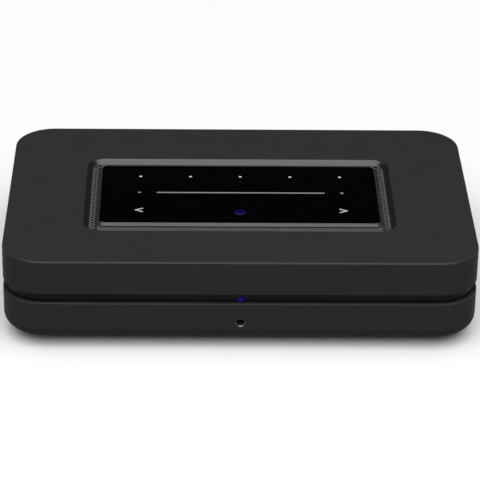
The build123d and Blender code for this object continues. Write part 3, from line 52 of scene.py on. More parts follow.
def useNothing():
    if bpy.context.object and bpy.context.object.mode != "OBJECT":
        bpy.ops.object.mode_set(mode="OBJECT")
    bpy.ops.object.select_all(action="DESELECT")


def useObject(piece):
    useNothing()
    piece.select_set(True)
    bpy.context.view_layer.objects.active = piece


def editObject(piece):
    useObject(piece)
    bpy.ops.object.mode_set(mode="EDIT")


def pick(piece, kind, wanted):
    # in edit mode: selects only the verts, edges or faces that wanted says yes to
    bpy.context.tool_settings.mesh_select_mode = [kind == each for each in ("verts", "edges", "faces")]
    bpy.ops.mesh.select_all(action="DESELECT")
    work = bmesh.from_edit_mesh(piece.data)
    for item in getattr(work, kind):
        if wanted(item):
            item.select_set(True)
    bmesh.update_edit_mesh(piece.data)


def near(value, target, room=0.02):
    # value in metres, target and room in millimetres
    return abs(value / mm - target) < room


def upright(edge):
    a, b = edge.verts
    return (a.co - b.co).xy.length < hair * mm


def rimAt(height):
    return lambda edge: all(near(vert.co.z, height) for vert in edge.verts)


def faceAt(height, side):
    # side is 1 for faces that look up and -1 for faces that look down
    return lambda face: face.normal.z * side > 0.9 and near(face.calc_center_median().z, height)


def manySided(face):
    # a cap or floor, and not one of the four-sided faces round it
    return len(face.verts) > 8


def settle(piece):
    # place, turn and size go into the mesh, so the object stays at the origin
    useObject(piece)
    bpy.ops.object.transform_apply(location=True, rotation=True, scale=True)


def addBlock(name, low, high, turn=0.0):
    useNothing()
    middle = [(a + b) / 2 * mm for a, b in zip(low, high)]
    bpy.ops.mesh.primitive_cube_add(size=1, location=middle)
    piece = bpy.context.object
    piece.name = name
    piece.scale = [(b - a) * mm for a, b in zip(low, high)]
    piece.rotation_euler = (0, 0, turn)
    settle(piece)
    return piece


def addRound(name, place, radius, length, axis="Z", sides=32, tip=None):
    # a cylinder, or a cone when it has a tip radius at its far end
    useNothing()
    turns = {"Z": (0, 0, 0), "Y": (-math.pi / 2, 0, 0), "-Y": (math.pi / 2, 0, 0)}
    farRadius = radius if tip is None else tip
    bpy.ops.mesh.primitive_cone_add(
        vertices=sides, radius1=radius * mm, radius2=farRadius * mm, depth=length * mm,
        location=[v * mm for v in place], rotation=turns[axis])
    piece = bpy.context.object
    piece.name = name
    settle(piece)
    return piece


def roundCorners(piece, radius, segments=12):
    pick(piece, "edges", upright)
    bpy.ops.mesh.bevel(offset=radius * mm, segments=segments, affect="EDGES")


def roundRim(piece, height, radius, segments):
    pick(piece, "edges", rimAt(height))
    bpy.ops.mesh.bevel(offset=radius * mm, segments=segments, affect="EDGES")


def roundedBlock(name, outline, low, high, segments=12):
    # outline is width, depth, corner radius and the middle's y
    width, depth, radius, middle = outline
    piece = addBlock(name, (-width / 2, middle - depth / 2, low), (width / 2, middle + depth / 2, high))
    editObject(piece)
    roundCorners(piece, radius, segments)
    return piece


def hollow(piece, height, side, wall, reach, rearWall=None):
    # insets the face at that height and pushes it in; rearWall is what the rear wall is thicker by
    pick(piece, "faces", faceAt(height, side))
    bpy.ops.mesh.inset(thickness=wall * mm)
    if rearWall:
        chosen = bmesh.from_edit_mesh(piece.data)
        moved = {vert.index for vert in chosen.verts if vert.select and vert.co.y > 0}
        pick(piece, "verts", lambda vert: vert.index in moved)
        bpy.ops.transform.translate(value=(0, -rearWall * mm, 0))
        pick(piece, "faces", lambda face: faceAt(height, side)(face) and manySided(face))
    bpy.ops.mesh.extrude_region_move(TRANSFORM_OT_translate={"value": (0, 0, -side * reach * mm)})


def applyModifier(piece, kind, **settings):
    useObject(piece)
    modifier = piece.modifiers.new(kind.title(), kind)
    for name, value in settings.items():
        setattr(modifier, name, value)
    bpy.ops.object.modifier_apply(modifier=modifier.name)


def cut(piece, cutter, operation="DIFFERENCE"):
    applyModifier(piece, "BOOLEAN", operation=operation, object=cutter, solver="EXACT")
    bpy.data.objects.remove(cutter, do_unlink=True)


def join(name, pieces):
    useObject(pieces[0])
    for piece in pieces[1:]:
        piece.select_set(True)
    bpy.ops.object.join()
    pieces[0].name = name
    return pieces[0]


def copyOf(piece, move):
    twin = piece.copy()
    twin.data = piece.data.copy()
    bpy.context.collection.objects.link(twin)
    twin.location = [v * mm for v in move]
    settle(twin)
    return twin


def smooth(piece, angle=40, weighted=True):
    useObject(piece)
    bpy.ops.object.shade_smooth_by_angle(angle=math.radians(angle))
    if weighted:
        applyModifier(piece, "WEIGHTED_NORMAL", keep_sharp=True)


def place(piece, slot, look, *nodes):
    piece.data.materials.clear()
    piece.data.materials.append(look.material)
    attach(piece, "casing")
    if nodes:
        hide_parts(*nodes)


# materials: values are joined like numbers

class Wire:
    def __init__(self, look, socket):
        self.look = look
        self.socket = socket

    def math(self, operation, first, second):
        return self.look.node("ShaderNodeMath", {"operation": operation}, {0: first, 1: second})

    def __add__(self, other):
        return self.math("ADD", self, other)

    def __radd__(self, other):
        return self.math("ADD", other, self)

    def __sub__(self, other):
        return self.math("SUBTRACT", self, other)

    def __rsub__(self, other):
        return self.math("SUBTRACT", other, self)

    def __mul__(self, other):
        return self.math("MULTIPLY", self, other)

    def __gt__(self, other):
        return self.math("GREATER_THAN", self, other)

    def __lt__(self, other):
        return self.math("LESS_THAN", self, other)

    def __abs__(self):
        return self.math("ABSOLUTE", self, 0.0)


class Look:
    def __init__(self, name, **sockets):
        self.material = bpy.data.materials.new(name)
        self.material.use_nodes = True
        self.nodes = self.material.node_tree.nodes
        self.shader = self.nodes["Principled BSDF"]
        self.set(**sockets)

    def node(self, kind, settings, sockets, output=0):
        made = self.nodes.new(kind)
        for name, value in settings.items():
            setattr(made, name, value)
        for name, value in sockets.items():
            self.plug(made.inputs[name], value)
        return Wire(self, made.outputs[output])

    def plug(self, socket, value):
        if isinstance(value, Wire):
            self.material.node_tree.links.new(value.socket, socket)
        else:
            socket.default_value = value

    def set(self, **sockets):
        for name, value in sockets.items():
            self.plug(self.shader.inputs[name.replace("_", " ")], value)

    def where(self, centre=(0, 0, 0), stretch=(1, 1, 1)):
        # object coordinates in metres, from a centre given in millimetres
        spot = self.node("ShaderNodeTexCoord", {}, {}, "Object")
        return self.node("ShaderNodeMapping", {"vector_type": "TEXTURE"},
                         {"Vector": spot, "Location": [v * mm for v in centre], "Scale": stretch})

    def noise(self, where, size, detail=3.0):
        # size is that of one blotch in millimetres
        return self.node("ShaderNodeTexNoise", {},
                         {"Vector": where, "Scale": 1 / (size * mm), "Detail": detail})

    def mix(self, mask, first, second):
        # in this node, sockets 6 and 7 are the two colours and output 2 is the mixed one
        return self.node("ShaderNodeMix", {"data_type": "RGBA"}, {0: mask, 6: first, 7: second}, 2)

    def between(self, mask, first, second):
        return self.mix(mask, [*first, 1], [*second, 1])

    def distance(self, centre):
        return self.node("ShaderNodeVectorMath", {"operation": "LENGTH"},
                         {0: self.where(centre=centre)}, "Value")

    def another(self, wire, output):
        # another output of the node that the wire comes from
        return Wire(self, wire.socket.node.outputs[output])

    def bumps(self, height, depth):
        # depth in millimetres
        return self.node("ShaderNodeBump", {}, {"Height": height, "Distance": depth * mm, "Strength": 1.0})


def shade(colour, share):
    return [v * share for v in colour]


def grainedLook(name, colour, roughness, metallic=0.0, blotch=6.0, grain=0.4, depth=0.02, spread=0.15,
                stretch=(1, 1, 1), **sockets):
    # a moulded, painted or plated surface: faint blotches, uneven sheen and a fine grain
    fineSheen, wideSheen = 0.16, 0.08
    look = Look(name, Metallic=metallic, **sockets)
    here = look.where(stretch=stretch)
    wide = look.noise(here, blotch, 2.0)
    fine = look.noise(here, grain, 4.0)
    look.set(Base_Color=look.between(wide, shade(colour, 1 - spread), shade(colour, 1 + spread)),
             Roughness=roughness + (fine - 0.5) * fineSheen + (wide - 0.5) * wideSheen,
             Normal=look.bumps(fine, depth))
    return look


casingLook = grainedLook("casingMatt", (0.0305, 0.0305, 0.031), 0.52, blotch=14.0, grain=0.32, depth=0.03,
                         spread=0.06, Specular_IOR_Level=0.02, Coat_Roughness=0.3, Coat_IOR=1.75)
# a smooth coat lies on the sloped wall of the recess and on the shells' upper edges, and the wall's colour is
# made darker as painted shade in the recess
# these zones are in metres, as object coordinates are
wallZone = {"foot": 0.0441, "top": 0.04597, "halfWidth": 0.0745, "halfDepth": 0.0392, "middleY": -0.0038}
edgeZone = {"coverLow": 0.0452, "coverHigh": 0.04597, "shellLow": 0.024, "shellHigh": 0.02447}
# its colour is a painted shade: the recess wall is set darker than the casing's own colour
wallCoatAndShade = {"zeroAt": 0.0489, "perMetre": 190.0, "colour": [0.012, 0.012, 0.0122, 1]}
edgeCoat = 0.2
placeX = casingLook.node("ShaderNodeSeparateXYZ", {}, {0: casingLook.where()}, "X")
placeY = casingLook.another(placeX, "Y")
placeZ = casingLook.another(placeX, "Z")
onWall = ((placeZ > wallZone["foot"]) * (placeZ < wallZone["top"]) * (abs(placeX) < wallZone["halfWidth"])
          * (abs(placeY - wallZone["middleY"]) < wallZone["halfDepth"]))
onEdge = ((placeZ > edgeZone["coverLow"]) * (placeZ < edgeZone["coverHigh"])
          + (placeZ > edgeZone["shellLow"]) * (placeZ < edgeZone["shellHigh"]))
plain = Wire(casingLook, casingLook.shader.inputs["Base Color"].links[0].from_socket)
# the coat is a real gloss; on the recess wall the base colour is swapped for the painted shade
casingLook.set(Coat_Weight=onWall * (wallCoatAndShade["zeroAt"] - placeZ) * wallCoatAndShade["perMetre"] + onEdge * edgeCoat,
               Base_Color=casingLook.mix(onWall, plain, wallCoatAndShade["colour"]))
looks = {
    "casing": casingLook,
    "band": grainedLook("bandSatin", (0.0026, 0.0026, 0.0028), 0.42, grain=0.5, depth=0.006,
                        Specular_IOR_Level=0.1),
    "dark_steel": grainedLook("powderCoat", (0.018, 0.018, 0.018), 0.6, grain=0.25, depth=0.03),
    "rubber": grainedLook("footRubber", (0.018, 0.018, 0.018), 0.75, grain=0.6, depth=0.03),
    "screw_steel": grainedLook("darkZinc", (0.3, 0.3, 0.31), 0.32, 1.0, grain=0.3, depth=0.006),
    "grille_steel": grainedLook("grillePaint", (0.115, 0.115, 0.117), 0.4, 0.3, grain=0.3, depth=0.012),
    "frame_plastic": grainedLook("frameSatin", (0.035, 0.035, 0.036), 0.3, grain=0.3, depth=0.006,
                                 Coat_Weight=0.08, Coat_Roughness=0.2),
    "board_green": grainedLook("solderMask", (0.02, 0.12, 0.05), 0.35, blotch=3.0, grain=0.8, depth=0.02,
                               spread=0.3),
    "clear_plastic": grainedLook("frostedClear", (0.7, 0.72, 0.75), 0.4, grain=0.3, depth=0.01, spread=0.04),
    "plated_steel": grainedLook("tinPlate", (0.6, 0.6, 0.6), 0.28, 1.0, grain=0.25, depth=0.005, spread=0.06),
    "sheet_plastic": grainedLook("filmAmber", (0.6, 0.45, 0.22), 0.35, grain=0.6, depth=0.01, spread=0.08),
    "socket_plastic": grainedLook("socketMoulded", (0.02, 0.02, 0.021), 0.42, grain=0.3, depth=0.012),
    "blue_light": grainedLook("lampBlue", (0.02, 0.1, 0.7), 0.2, grain=0.3, depth=0.002, spread=0.05),
    "chip_plastic": grainedLook("chipEpoxy", (0.015, 0.015, 0.015), 0.5, grain=0.2, depth=0.01),
    "gold_plate": grainedLook("goldPlate", (0.83, 0.6, 0.24), 0.2, 1.0, grain=0.3, depth=0.003, spread=0.05),
    "insert_plastic": grainedLook("insertMoulded", (0.06, 0.06, 0.06), 0.45, grain=0.3, depth=0.01),
    "ferrite": grainedLook("ferriteCore", (0.05, 0.05, 0.05), 0.7, grain=0.3, depth=0.02),
    "tape": grainedLook("windingTape", (0.65, 0.5, 0.08), 0.4, blotch=2.0, grain=0.5, depth=0.02,
                        stretch=(1, 1, 0.2)),
    "can_sleeve": grainedLook("canSleeve", (0.02, 0.02, 0.03), 0.3, grain=0.6, depth=0.008),
    "sink_aluminium": grainedLook("extrudedAluminium", (0.6, 0.6, 0.6), 0.35, 1.0, grain=0.4, depth=0.01,
                                  stretch=(1, 12, 1)),
    "pad_rubber": grainedLook("padGrey", (0.4, 0.4, 0.45), 0.8, grain=0.5, depth=0.03),
}
glassLook = Look("blackGlass", Base_Color=(0.0005, 0.0005, 0.0006, 1), Specular_IOR_Level=0.08)
smears = glassLook.noise(glassLook.where(), 18.0, 3.0)
cleanRoughness, smearRoughness = 0.08, 0.06
glassLook.set(Roughness=cleanRoughness + smears * smearRoughness)
looks["touch_glass"] = glassLook
slots = {part["node"]: part["material_slot"] for part in frame["record"]["subparts"]}
for name, node in frame["nodes"].items():
    for slot in node.material_slots:
        slot.material = looks[slots[name]].material
print("materials made,", len(looks))


def lampLook(name, colour):
    # a lit mark, a little uneven as a lamp behind frosted plastic is
    soft = 0.08
    look = Look(name, Base_Color=(0.01, 0.01, 0.01, 1), Roughness=0.4, Specular_IOR_Level=0.1,
                Emission_Strength=1.0)
    glow = look.noise(look.where(), 2.0, 1.0)
    look.set(Emission_Color=look.between(glow, shade(colour, 1 - soft), shade(colour, 1 + soft)))
    return look


# casing: every size below is in millimetres, and an outline is width, depth, corner radius and the middle's y
body = {"outline": (220.0, 142.0, 19.0, -2.0), "wall": 2.5, "rearExtra": 1.5}
# the opening in the rear wall, cut through it from y "from" to y "to"
rearWindow = {"side": 87.0, "low": 9.3, "high": 38.5, "from": 62.0, "to": 72.0}

cover = {"low": 29.1, "high": 46.0, "ceiling": 44.1, "edge": 1.0, "lowerEdge": 0.4}
recess = {"outline": (146.6, 76.0, 8.0, -3.8), "run": 2.45, "drop": 1.9, "edge": 0.35, "through": 3.0,
          "room": 1.0}
topCover = roundedBlock("topCover", body["outline"], cover["low"], cover["high"])
roundRim(topCover, cover["high"], cover["edge"], 4)
roundRim(topCover, cover["low"], cover["lowerEdge"], 1)
hollow(topCover, cover["low"], -1, body["wall"] - cover["lowerEdge"], cover["ceiling"] - cover["low"],
       body["rearExtra"])
cutter = roundedBlock("recessCutter", recess["outline"], cover["high"], cover["high"] + past, 8)
pick(cutter, "faces", faceAt(cover["high"], -1))
bpy.ops.mesh.inset(thickness=recess["run"] * mm, depth=recess["drop"] * mm)
bpy.ops.mesh.extrude_region_move(TRANSFORM_OT_translate={"value": (0, 0, -recess["through"] * mm)})
cut(topCover, cutter)
cut(topCover, addBlock("windowCutter", (-rearWindow["side"], rearWindow["from"], cover["low"] - past),
                       (rearWindow["side"], rearWindow["to"], rearWindow["high"])))
editObject(topCover)


def onRecessRim(edge):
    # level with the cover's top, at most "room" outside the recess, and beside a face that isn't level
    width, depth, _, middle = recess["outline"]
    reachX, reachY = width / 2 + recess["room"], depth / 2 + recess["room"]
    level = rimAt(cover["high"])(edge)
    inside = all(abs(vert.co.x / mm) < reachX and abs(vert.co.y / mm - middle) < reachY
                 for vert in edge.verts)
    return level and inside and any(abs(face.normal.z) < 0.95 for face in edge.link_faces)


pick(topCover, "edges", onRecessRim)
bpy.ops.mesh.bevel(offset=recess["edge"] * mm, segments=2, affect="EDGES")
smooth(topCover)
place(topCover, "casing", casingLook, "top_cover")
print("top cover made")

shell = {"low": 4.9, "high": 24.5, "floor": 7.4, "edge": 0.35, "base": 7.0}
lowerShell = roundedBlock("lowerShell", body["outline"], shell["low"], shell["high"])
roundRim(lowerShell, shell["low"], shell["base"], 8)
roundRim(lowerShell, shell["high"], shell["edge"], 3)
hollow(lowerShell, shell["high"], 1, body["wall"] - shell["edge"], shell["high"] - shell["floor"],
       body["rearExtra"])
cut(lowerShell, addBlock("windowCutter", (-rearWindow["side"], rearWindow["from"], rearWindow["low"]),
                         (rearWindow["side"], rearWindow["to"], shell["high"] + past)))
# the hole of the headphone socket, with a conical sink in the front face
jackHole = {"height": 14.7, "radius": 1.8, "cutMiddle": -72.0, "cutLength": 6.0, "sink": 2.2,
            "sinkDepth": 0.5, "face": -73.0}
cut(lowerShell, addRound("jackCutter", (0, jackHole["cutMiddle"], jackHole["height"]), jackHole["radius"],
                         jackHole["cutLength"], "Y"))
cut(lowerShell, addRound("sinkCutter", (0, jackHole["face"] + jackHole["sinkDepth"] / 2, jackHole["height"]),
                         jackHole["sink"], jackHole["sinkDepth"] + hair, "Y", tip=jackHole["radius"]))
# two groups of slots in the floor, their middles "groups" to the left and right
vents = {"width": 3.0, "length": 26.0, "pitch": 7.0, "count": 9, "groups": 45.0, "middle": -2.0, "low": 4.0,
         "high": 8.0}
firstVent = -vents["groups"] - vents["pitch"] * (vents["count"] - 1) / 2
ventCutters = []
for group in range(2):
    for i in range(vents["count"]):
        x = firstVent + 2 * vents["groups"] * group + vents["pitch"] * i
        ventCutters.append(addBlock(
            "ventCutter", (x - vents["width"] / 2, vents["middle"] - vents["length"] / 2, vents["low"]),
            (x + vents["width"] / 2, vents["middle"] + vents["length"] / 2, vents["high"])))
cut(lowerShell, join("ventCutters", ventCutters))
smooth(lowerShell)
place(lowerShell, "casing", casingLook, "bottom_shell")
print("lower shell made")

# waist band: a ring with a lip behind it that reaches up and down inside both shells
band = {"low": 24.5, "high": 29.1, "outline": (216.0, 138.0, 17.0, -2.0), "wall": 2.4, "web": 1.0,
        "reach": 3.0, "lip": (214.8, 135.3, 16.4, -2.75), "core": (211.2, 131.7, 14.6, -2.75)}
bandRear = {"side": 90.6, "from": 60.9, "to": 72.0, "low": 20.0, "high": 34.0}
lampHole = {"middle": -70.0, "height": 26.0, "radius": 1.55, "length": 8.0}
waist = roundedBlock("waistBand", band["outline"], band["low"], band["high"])
hollow(waist, band["high"], 1, band["wall"], band["high"] - band["low"] - band["web"], body["rearExtra"])
pick(waist, "faces", faceAt(band["low"], -1))
bpy.ops.mesh.delete(type="FACE")
pick(waist, "faces", lambda face: faceAt(band["low"] + band["web"], 1)(face) and manySided(face))
bpy.ops.mesh.delete(type="FACE")
pick(waist, "edges", lambda edge: edge.is_boundary)
bpy.ops.mesh.bridge_edge_loops()
lip = roundedBlock("waistLip", band["lip"], band["low"] - band["reach"], band["high"] + band["reach"])
cut(waist, lip, "UNION")
cut(waist, roundedBlock("waistCore", band["core"], bandRear["low"], bandRear["high"]))
cut(waist, addBlock("rearCutter", (-bandRear["side"], bandRear["from"], bandRear["low"]),
                    (bandRear["side"], bandRear["to"], bandRear["high"])))
cut(waist, addRound("lampCutter", (0, lampHole["middle"], lampHole["height"]), lampHole["radius"],
                    lampHole["length"], "Y"))
smooth(waist)
place(waist, "band", looks["band"], "waist_band")
print("waist band made")

# grille: a thin sheet with two columns of round holes down each side
# a column is its x, its shift as a share of the pitch, and its hole's radius
grille = {"low": 43.8, "high": 44.1, "outline": (150.2, 79.6, 1.0, -3.8), "window": (131.6, 59.4),
          "columns": ((67.55, 0.1, 0.98), (69.4, 0.5, 0.7)), "rowPitch": 2.66, "rows": 26, "holeSides": 20,
          "cutMiddle": 43.7, "cutLength": 2.0}
sheet = roundedBlock("ventGrille", grille["outline"], grille["low"], grille["high"], 4)
windowWidth, windowDepth = grille["window"]
sheetMiddle = grille["outline"][3]
cut(sheet, addBlock("windowCutter", (-windowWidth / 2, sheetMiddle - windowDepth / 2, grille["low"] - past),
                    (windowWidth / 2, sheetMiddle + windowDepth / 2, grille["high"] + past)))
firstRow = sheetMiddle - grille["rowPitch"] * (grille["rows"] - 1) / 2
holes = []
for x, share, radius in grille["columns"]:
    hole = addRound("holeCutter", (0, firstRow + share * grille["rowPitch"], grille["cutMiddle"]), radius,
                    grille["cutLength"], sides=grille["holeSides"])
    applyModifier(hole, "ARRAY", count=grille["rows"], use_relative_offset=False, use_constant_offset=True,
                  constant_offset_displace=(0, grille["rowPitch"] * mm, 0))
    holes += [copyOf(hole, (side * x, 0, 0)) for side in (-1, 1)]
    bpy.data.objects.remove(hole, do_unlink=True)
cut(sheet, join("holeCutters", holes))
smooth(sheet, 40, False)
place(sheet, "grille_steel", looks["grille_steel"], "vent_grille")
print("grille made,", len(sheet.data.polygons), "faces")

# control panel: a tray, a bevelled rim on a neck, the glass and the lit marks
panel = {"tray": 40.1, "low": 44.1, "wall": 2.0, "well": 2.5, "neck": (131.0, 58.8, 2.2, -3.8), "gap": 0.6,
         "flange": (134.6, 62.4, 4.0, -3.8), "rise": 1.35, "run": 1.2, "pocket": (132.1, 59.9, 2.75, -3.8),
         "lip": 0.1, "seat": 45.5, "opening": (127.0, 54.8, 1.0, -3.8), "above": 48.0}
trayTop = panel["low"] - hair
panelFrame = roundedBlock("panelFrame", panel["neck"], panel["tray"], trayTop, 6)
hollow(panelFrame, trayTop, 1, panel["wall"], panel["well"])
rimFoot = panel["low"] + panel["gap"]
rim = roundedBlock("panelRim", panel["flange"], rimFoot, rimFoot + panel["lip"], 8)
pick(rim, "faces", faceAt(rimFoot + panel["lip"], 1))
bpy.ops.mesh.inset(thickness=panel["run"] * mm, depth=(panel["rise"] - panel["lip"]) * mm)
cut(rim, roundedBlock("panelNeck", panel["neck"], panel["low"], rimFoot + panel["lip"] / 2, 8), "UNION")
cut(rim, roundedBlock("glassPocket", panel["pocket"], panel["seat"], panel["above"], 8))
cut(rim, roundedBlock("rimCutter", panel["opening"], panel["tray"] - past, panel["above"], 4))
panelFrame = join("panelFrame", [panelFrame, rim])
smooth(panelFrame)
place(panelFrame, "frame_plastic", looks["frame_plastic"], "panel_frame")

glass = {"outline": (132.0, 59.8, 2.7, -3.8), "low": 45.5, "high": 46.18, "edge": 0.2}
touchGlass = roundedBlock("touchGlass", glass["outline"], glass["low"], glass["high"], 8)
roundRim(touchGlass, glass["high"], glass["edge"], 2)
smooth(touchGlass)
place(touchGlass, "touch_glass", glassLook, "touch_glass")

# the lit marks: every one but the play mark is laid out about x = 0 and then moved to x = "middle"
marks = {"low": 46.1, "high": 46.2, "middle": 0.8, "dots": (-48.2, -24.1, 0.0, 24.1, 48.2), "dotRow": 14.3,
         "dotRadius": 0.72, "sliderHalf": 39.7, "sliderRow": -2.8, "sliderWidth": 1.05, "signs": 48.5,
         "signReach": 0.75, "signWidth": 0.95, "chevronTip": 50.0, "chevronBack": 46.5, "chevronHalf": 1.85,
         "chevronWidth": 0.85, "chevronRow": -21.2, "glow": (0.3, -23.2), "glowCore": 1.8, "glowRadius": 3.5,
         "ringRadius": 2.5, "ringWidth": 0.7}
markMiddle = (marks["low"] + marks["high"]) / 2
markDepth = marks["high"] - marks["low"]
# the round ends are a hair thinner than the bars, so that no two faces lie in one plane
endDepth = markDepth * 0.98


def placeMark(name, pieces, lookName, colour):
    mark = join(name, pieces)
    mark.location = (marks["middle"] * mm, 0, 0)
    settle(mark)
    place(mark, "clear_plastic", lampLook(lookName, colour))


def markBar(x, y, halfX, halfY, turn=0.0):
    bar = addBlock("bar", (-halfX, -halfY, marks["low"]), (halfX, halfY, marks["high"]), turn)
    bar.location = (x * mm, y * mm, 0)
    settle(bar)
    return bar


dots = [addRound("dot", (x, marks["dotRow"], markMiddle), marks["dotRadius"], markDepth)
        for x in marks["dots"]]
placeMark("lampDots", dots, "lampWhite", (0.6, 0.61, 0.64))

bars = [markBar(0, marks["sliderRow"], marks["sliderHalf"], marks["sliderWidth"] / 2)]
for side in (-1, 1):
    bars.append(addRound("sliderEnd", (side * marks["sliderHalf"], marks["sliderRow"], markMiddle),
                         marks["sliderWidth"] / 2, endDepth))
    bars.append(markBar(side * marks["signs"], marks["sliderRow"], marks["signReach"],
                        marks["signWidth"] / 2))
bars.append(markBar(marks["signs"], marks["sliderRow"], marks["signWidth"] / 2, marks["signReach"]))
placeMark("lampSlider", bars, "lampGrey", (0.26, 0.262, 0.268))

bars = []
lean = math.atan2(marks["chevronHalf"], marks["chevronTip"] - marks["chevronBack"])
strokeHalf = math.hypot(marks["chevronHalf"], marks["chevronTip"] - marks["chevronBack"]) / 2
for side in (-1, 1):
    middleX = side * (marks["chevronTip"] + marks["chevronBack"]) / 2
    for way in (-1, 1):
        bars.append(markBar(middleX, marks["chevronRow"] + way * marks["chevronHalf"] / 2, strokeHalf,
                            marks["chevronWidth"] / 2, -side * way * lean))
    bars.append(addRound("chevronTip", (side * marks["chevronTip"], marks["chevronRow"], markMiddle),
                         marks["chevronWidth"] / 2, endDepth))
placeMark("lampChevrons", bars, "lampSoft", (0.48, 0.49, 0.53))

# the play mark: a soft blue patch that ends just below the ring in it, which is brighter at its front
glow = addRound("lampGlow", (*marks["glow"], markMiddle + markDepth / 5), marks["glowRadius"], markDepth / 2,
                sides=40)
glowLook = Look("lampGlowBlue", Base_Color=(0.0005, 0.0005, 0.001, 1), Roughness=0.2, Specular_IOR_Level=0.05,
                Emission_Strength=1.0)
fade = glowLook.node("ShaderNodeMapRange", {"interpolation_type": "SMOOTHSTEP"},
                     {"Value": glowLook.distance((*marks["glow"], markMiddle)),
                      "From Min": marks["glowCore"] * mm, "From Max": marks["glowRadius"] * mm})
glowLook.set(Emission_Color=glowLook.between(fade, (0.004, 0.0025, 0.038), (0.0005, 0.0004, 0.003)))
place(glow, "blue_light", glowLook, "light_guides")

ring = addRound("lampRing", (*marks["glow"], markMiddle), marks["ringRadius"], markDepth, sides=48)
editObject(ring)
pick(ring, "faces", manySided)
bpy.ops.mesh.inset(thickness=marks["ringWidth"] * mm)
bpy.ops.mesh.delete(type="FACE")
pick(ring, "edges", lambda edge: edge.is_boundary)
bpy.ops.mesh.bridge_edge_loops()
useObject(ring)
ringLook = Look("lampRingBlue", Base_Color=(0.0005, 0.0005, 0.001, 1), Roughness=0.3, Specular_IOR_Level=0.05,
                Emission_Strength=1.0)
# how much of the bright colour there is at the ring's middle, and what each metre towards the front adds
ringShare = {"middle": 0.1, "perMetre": 400.0}
spotY = ringLook.node("ShaderNodeSeparateXYZ", {}, {0: ringLook.where(centre=(*marks["glow"], 0))}, "Y")
front = spotY * -ringShare["perMetre"] + ringShare["middle"]
ringLook.set(Emission_Color=ringLook.between(front, (0.004, 0.0025, 0.045), (0.045, 0.026, 0.23)))
place(ring, "blue_light", ringLook)
print("control panel made")

# status light: a domed clear lens, brighter in its middle
# its dim colour is reached at 1 / 600 of a metre from the middle of the dome
lamp = {"place": (0.0, -70.1, 26.0), "radius": 1.5, "length": 2.6, "dome": 0.5, "fadePerMetre": 600.0}
lens = addRound("statusLens", lamp["place"], lamp["radius"], lamp["length"], "-Y", 32)
editObject(lens)
tip = lamp["place"][1] - lamp["length"] / 2
pick(lens, "edges", lambda edge: all(near(vert.co.y, tip) for vert in edge.verts))
bpy.ops.mesh.bevel(offset=lamp["dome"] * mm, segments=4, affect="EDGES")
smooth(lens, 60)
lensLook = Look("lensBlue", Base_Color=(0.002, 0.002, 0.01, 1), Roughness=0.25, Specular_IOR_Level=0.06,
                Emission_Strength=1.0)
fade = lensLook.distance((0, tip, lamp["place"][2])) * lamp["fadePerMetre"]
lensLook.set(Emission_Color=lensLook.between(fade, (0.008, 0.001, 0.25), (0.001, 0.0005, 0.02)))
place(lens, "blue_light", lensLook, "status_light")

# a thin metal bush lines the mouth of the headphone socket
bush = {"outer": 2.18, "inner": 1.84, "front": -72.98, "back": -72.55, "wall": 0.03}
jackRing = addRound("jackRing", (0, (bush["front"] + bush["back"]) / 2, jackHole["height"]), bush["outer"],
                    bush["back"] - bush["front"], "Y", 48, tip=bush["inner"])
editObject(jackRing)
pick(jackRing, "faces", manySided)
bpy.ops.mesh.delete(type="FACE")
useObject(jackRing)
applyModifier(jackRing, "SOLIDIFY", thickness=bush["wall"] * mm, offset=-1.0)
smooth(jackRing, 50, False)
bushLook = grainedLook("bushSmoked", (0.2, 0.2, 0.205), 0.45, 1.0, grain=0.2, depth=0.003)
place(jackRing, "plated_steel", bushLook)

# feet: round pads with a dimple for the screw, where "places" gives the x and y of each
foot = {"radius": 9.0, "top": 3.4, "bevel": 0.7, "dimple": 3.5, "dimpleDepth": 1.2, "dimpleSlope": 0.3,
        "places": ((83, -46), (83, 42), (-83, -46), (-83, 42))}
firstFoot = addRound("rubberFeet", (0, 0, foot["top"] / 2), foot["radius"], foot["top"], sides=48)
editObject(firstFoot)
pick(firstFoot, "edges", rimAt(0))
bpy.ops.mesh.bevel(offset=foot["bevel"] * mm, segments=3, affect="EDGES")
pick(firstFoot, "faces", faceAt(0, -1))
bpy.ops.mesh.inset(thickness=(foot["radius"] - foot["bevel"] - foot["dimple"] - foot["dimpleSlope"]) * mm)
bpy.ops.mesh.inset(thickness=foot["dimpleSlope"] * mm, depth=-foot["dimpleDepth"] * mm)
useObject(firstFoot)
feet = [copyOf(firstFoot, (x, y, 0)) for x, y in foot["places"]]
bpy.data.objects.remove(firstFoot, do_unlink=True)
feet = join("rubberFeet", feet)
smooth(feet)
place(feet, "rubber", looks["rubber"], "rubber_feet")
print("small pieces made")

# stage, light and camera: lengths in metres, angles in degrees
studio = {"floor": 8.0, "bounce": 0.3, "world": 0.02, "sun": math.pi * 1.03, "sunAngle": 80, "sunTilt": 22,
          "boxPlace": (0, -1.15, 0.87), "boxAim": (0, 0, 0.02), "boxSize": (1.1, 0.5), "boxPower": 2.4}
useNothing()
bpy.ops.mesh.primitive_plane_add(size=studio["floor"], location=(0, 0, 0))
floor = bpy.context.object
floor.name = "studioFloor"
floorLook = Look("floorWhite", Roughness=0.9, Specular_IOR_Level=0.0)
paper = floorLook.noise(floorLook.where(), 40.0, 2.0)
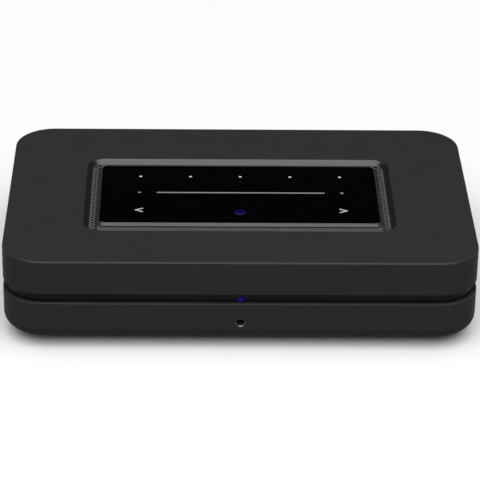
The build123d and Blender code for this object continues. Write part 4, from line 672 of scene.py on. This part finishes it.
# white to the camera and in reflections, and greyer as a source of light
seen = floorLook.node("ShaderNodeLightPath", {}, {}, "Is Camera Ray")
mirrored = floorLook.another(seen, "Is Glossy Ray")
through = floorLook.another(seen, "Is Transmission Ray")
white = floorLook.between(paper, (0.955, 0.955, 0.955), (0.97, 0.97, 0.97))
bounce = [studio["bounce"]] * 3 + [1]
floorLook.set(Base_Color=floorLook.mix(seen + mirrored + through, bounce, white))
floor.data.materials.append(floorLook.material)

world = bpy.data.worlds.new("studio")
bpy.context.scene.world = world
world.use_nodes = True
world.node_tree.nodes["Background"].inputs["Color"].default_value = (1, 1, 1, 1)
world.node_tree.nodes["Background"].inputs["Strength"].default_value = studio["world"]

sun = bpy.data.lights.new("overheadSoft", "SUN")
sun.energy, sun.angle = studio["sun"], math.radians(studio["sunAngle"])
overhead = bpy.data.objects.new("overheadSoft", sun)
bpy.context.collection.objects.link(overhead)
overhead.rotation_euler = (math.radians(studio["sunTilt"]), 0, 0)
boxData = bpy.data.lights.new("frontSoftbox", "AREA")
boxData.shape = "RECTANGLE"
boxData.size, boxData.size_y = studio["boxSize"]
boxData.energy = studio["boxPower"]
softbox = bpy.data.objects.new("frontSoftbox", boxData)
bpy.context.collection.objects.link(softbox)
softbox.location = studio["boxPlace"]
towards = Vector(studio["boxAim"]) - Vector(studio["boxPlace"])
softbox.rotation_euler = towards.to_track_quat("-Z", "Y").to_euler()

# the camera was fitted to points and edges of the photograph
view = {"lens": 187.96, "sensor": 36.0, "place": (-0.023290, -1.073917, 0.588500), "down": 27.927,
        "side": -1.2877, "roll": 0.8571}
cameraData = bpy.data.cameras.new("photoCamera")
cameraData.lens, cameraData.sensor_width = view["lens"], view["sensor"]
camera = bpy.data.objects.new("photoCamera", cameraData)
bpy.context.collection.objects.link(camera)
camera.location = view["place"]
turn = Euler((math.radians(90 - view["down"]), 0, math.radians(view["side"]))).to_matrix()
camera.rotation_euler = (turn @ Matrix.Rotation(math.radians(view["roll"]), 3, "Z")).to_euler()
bpy.context.scene.camera = camera
bpy.context.scene.view_settings.view_transform = "Standard"
print("stage, light and camera set")
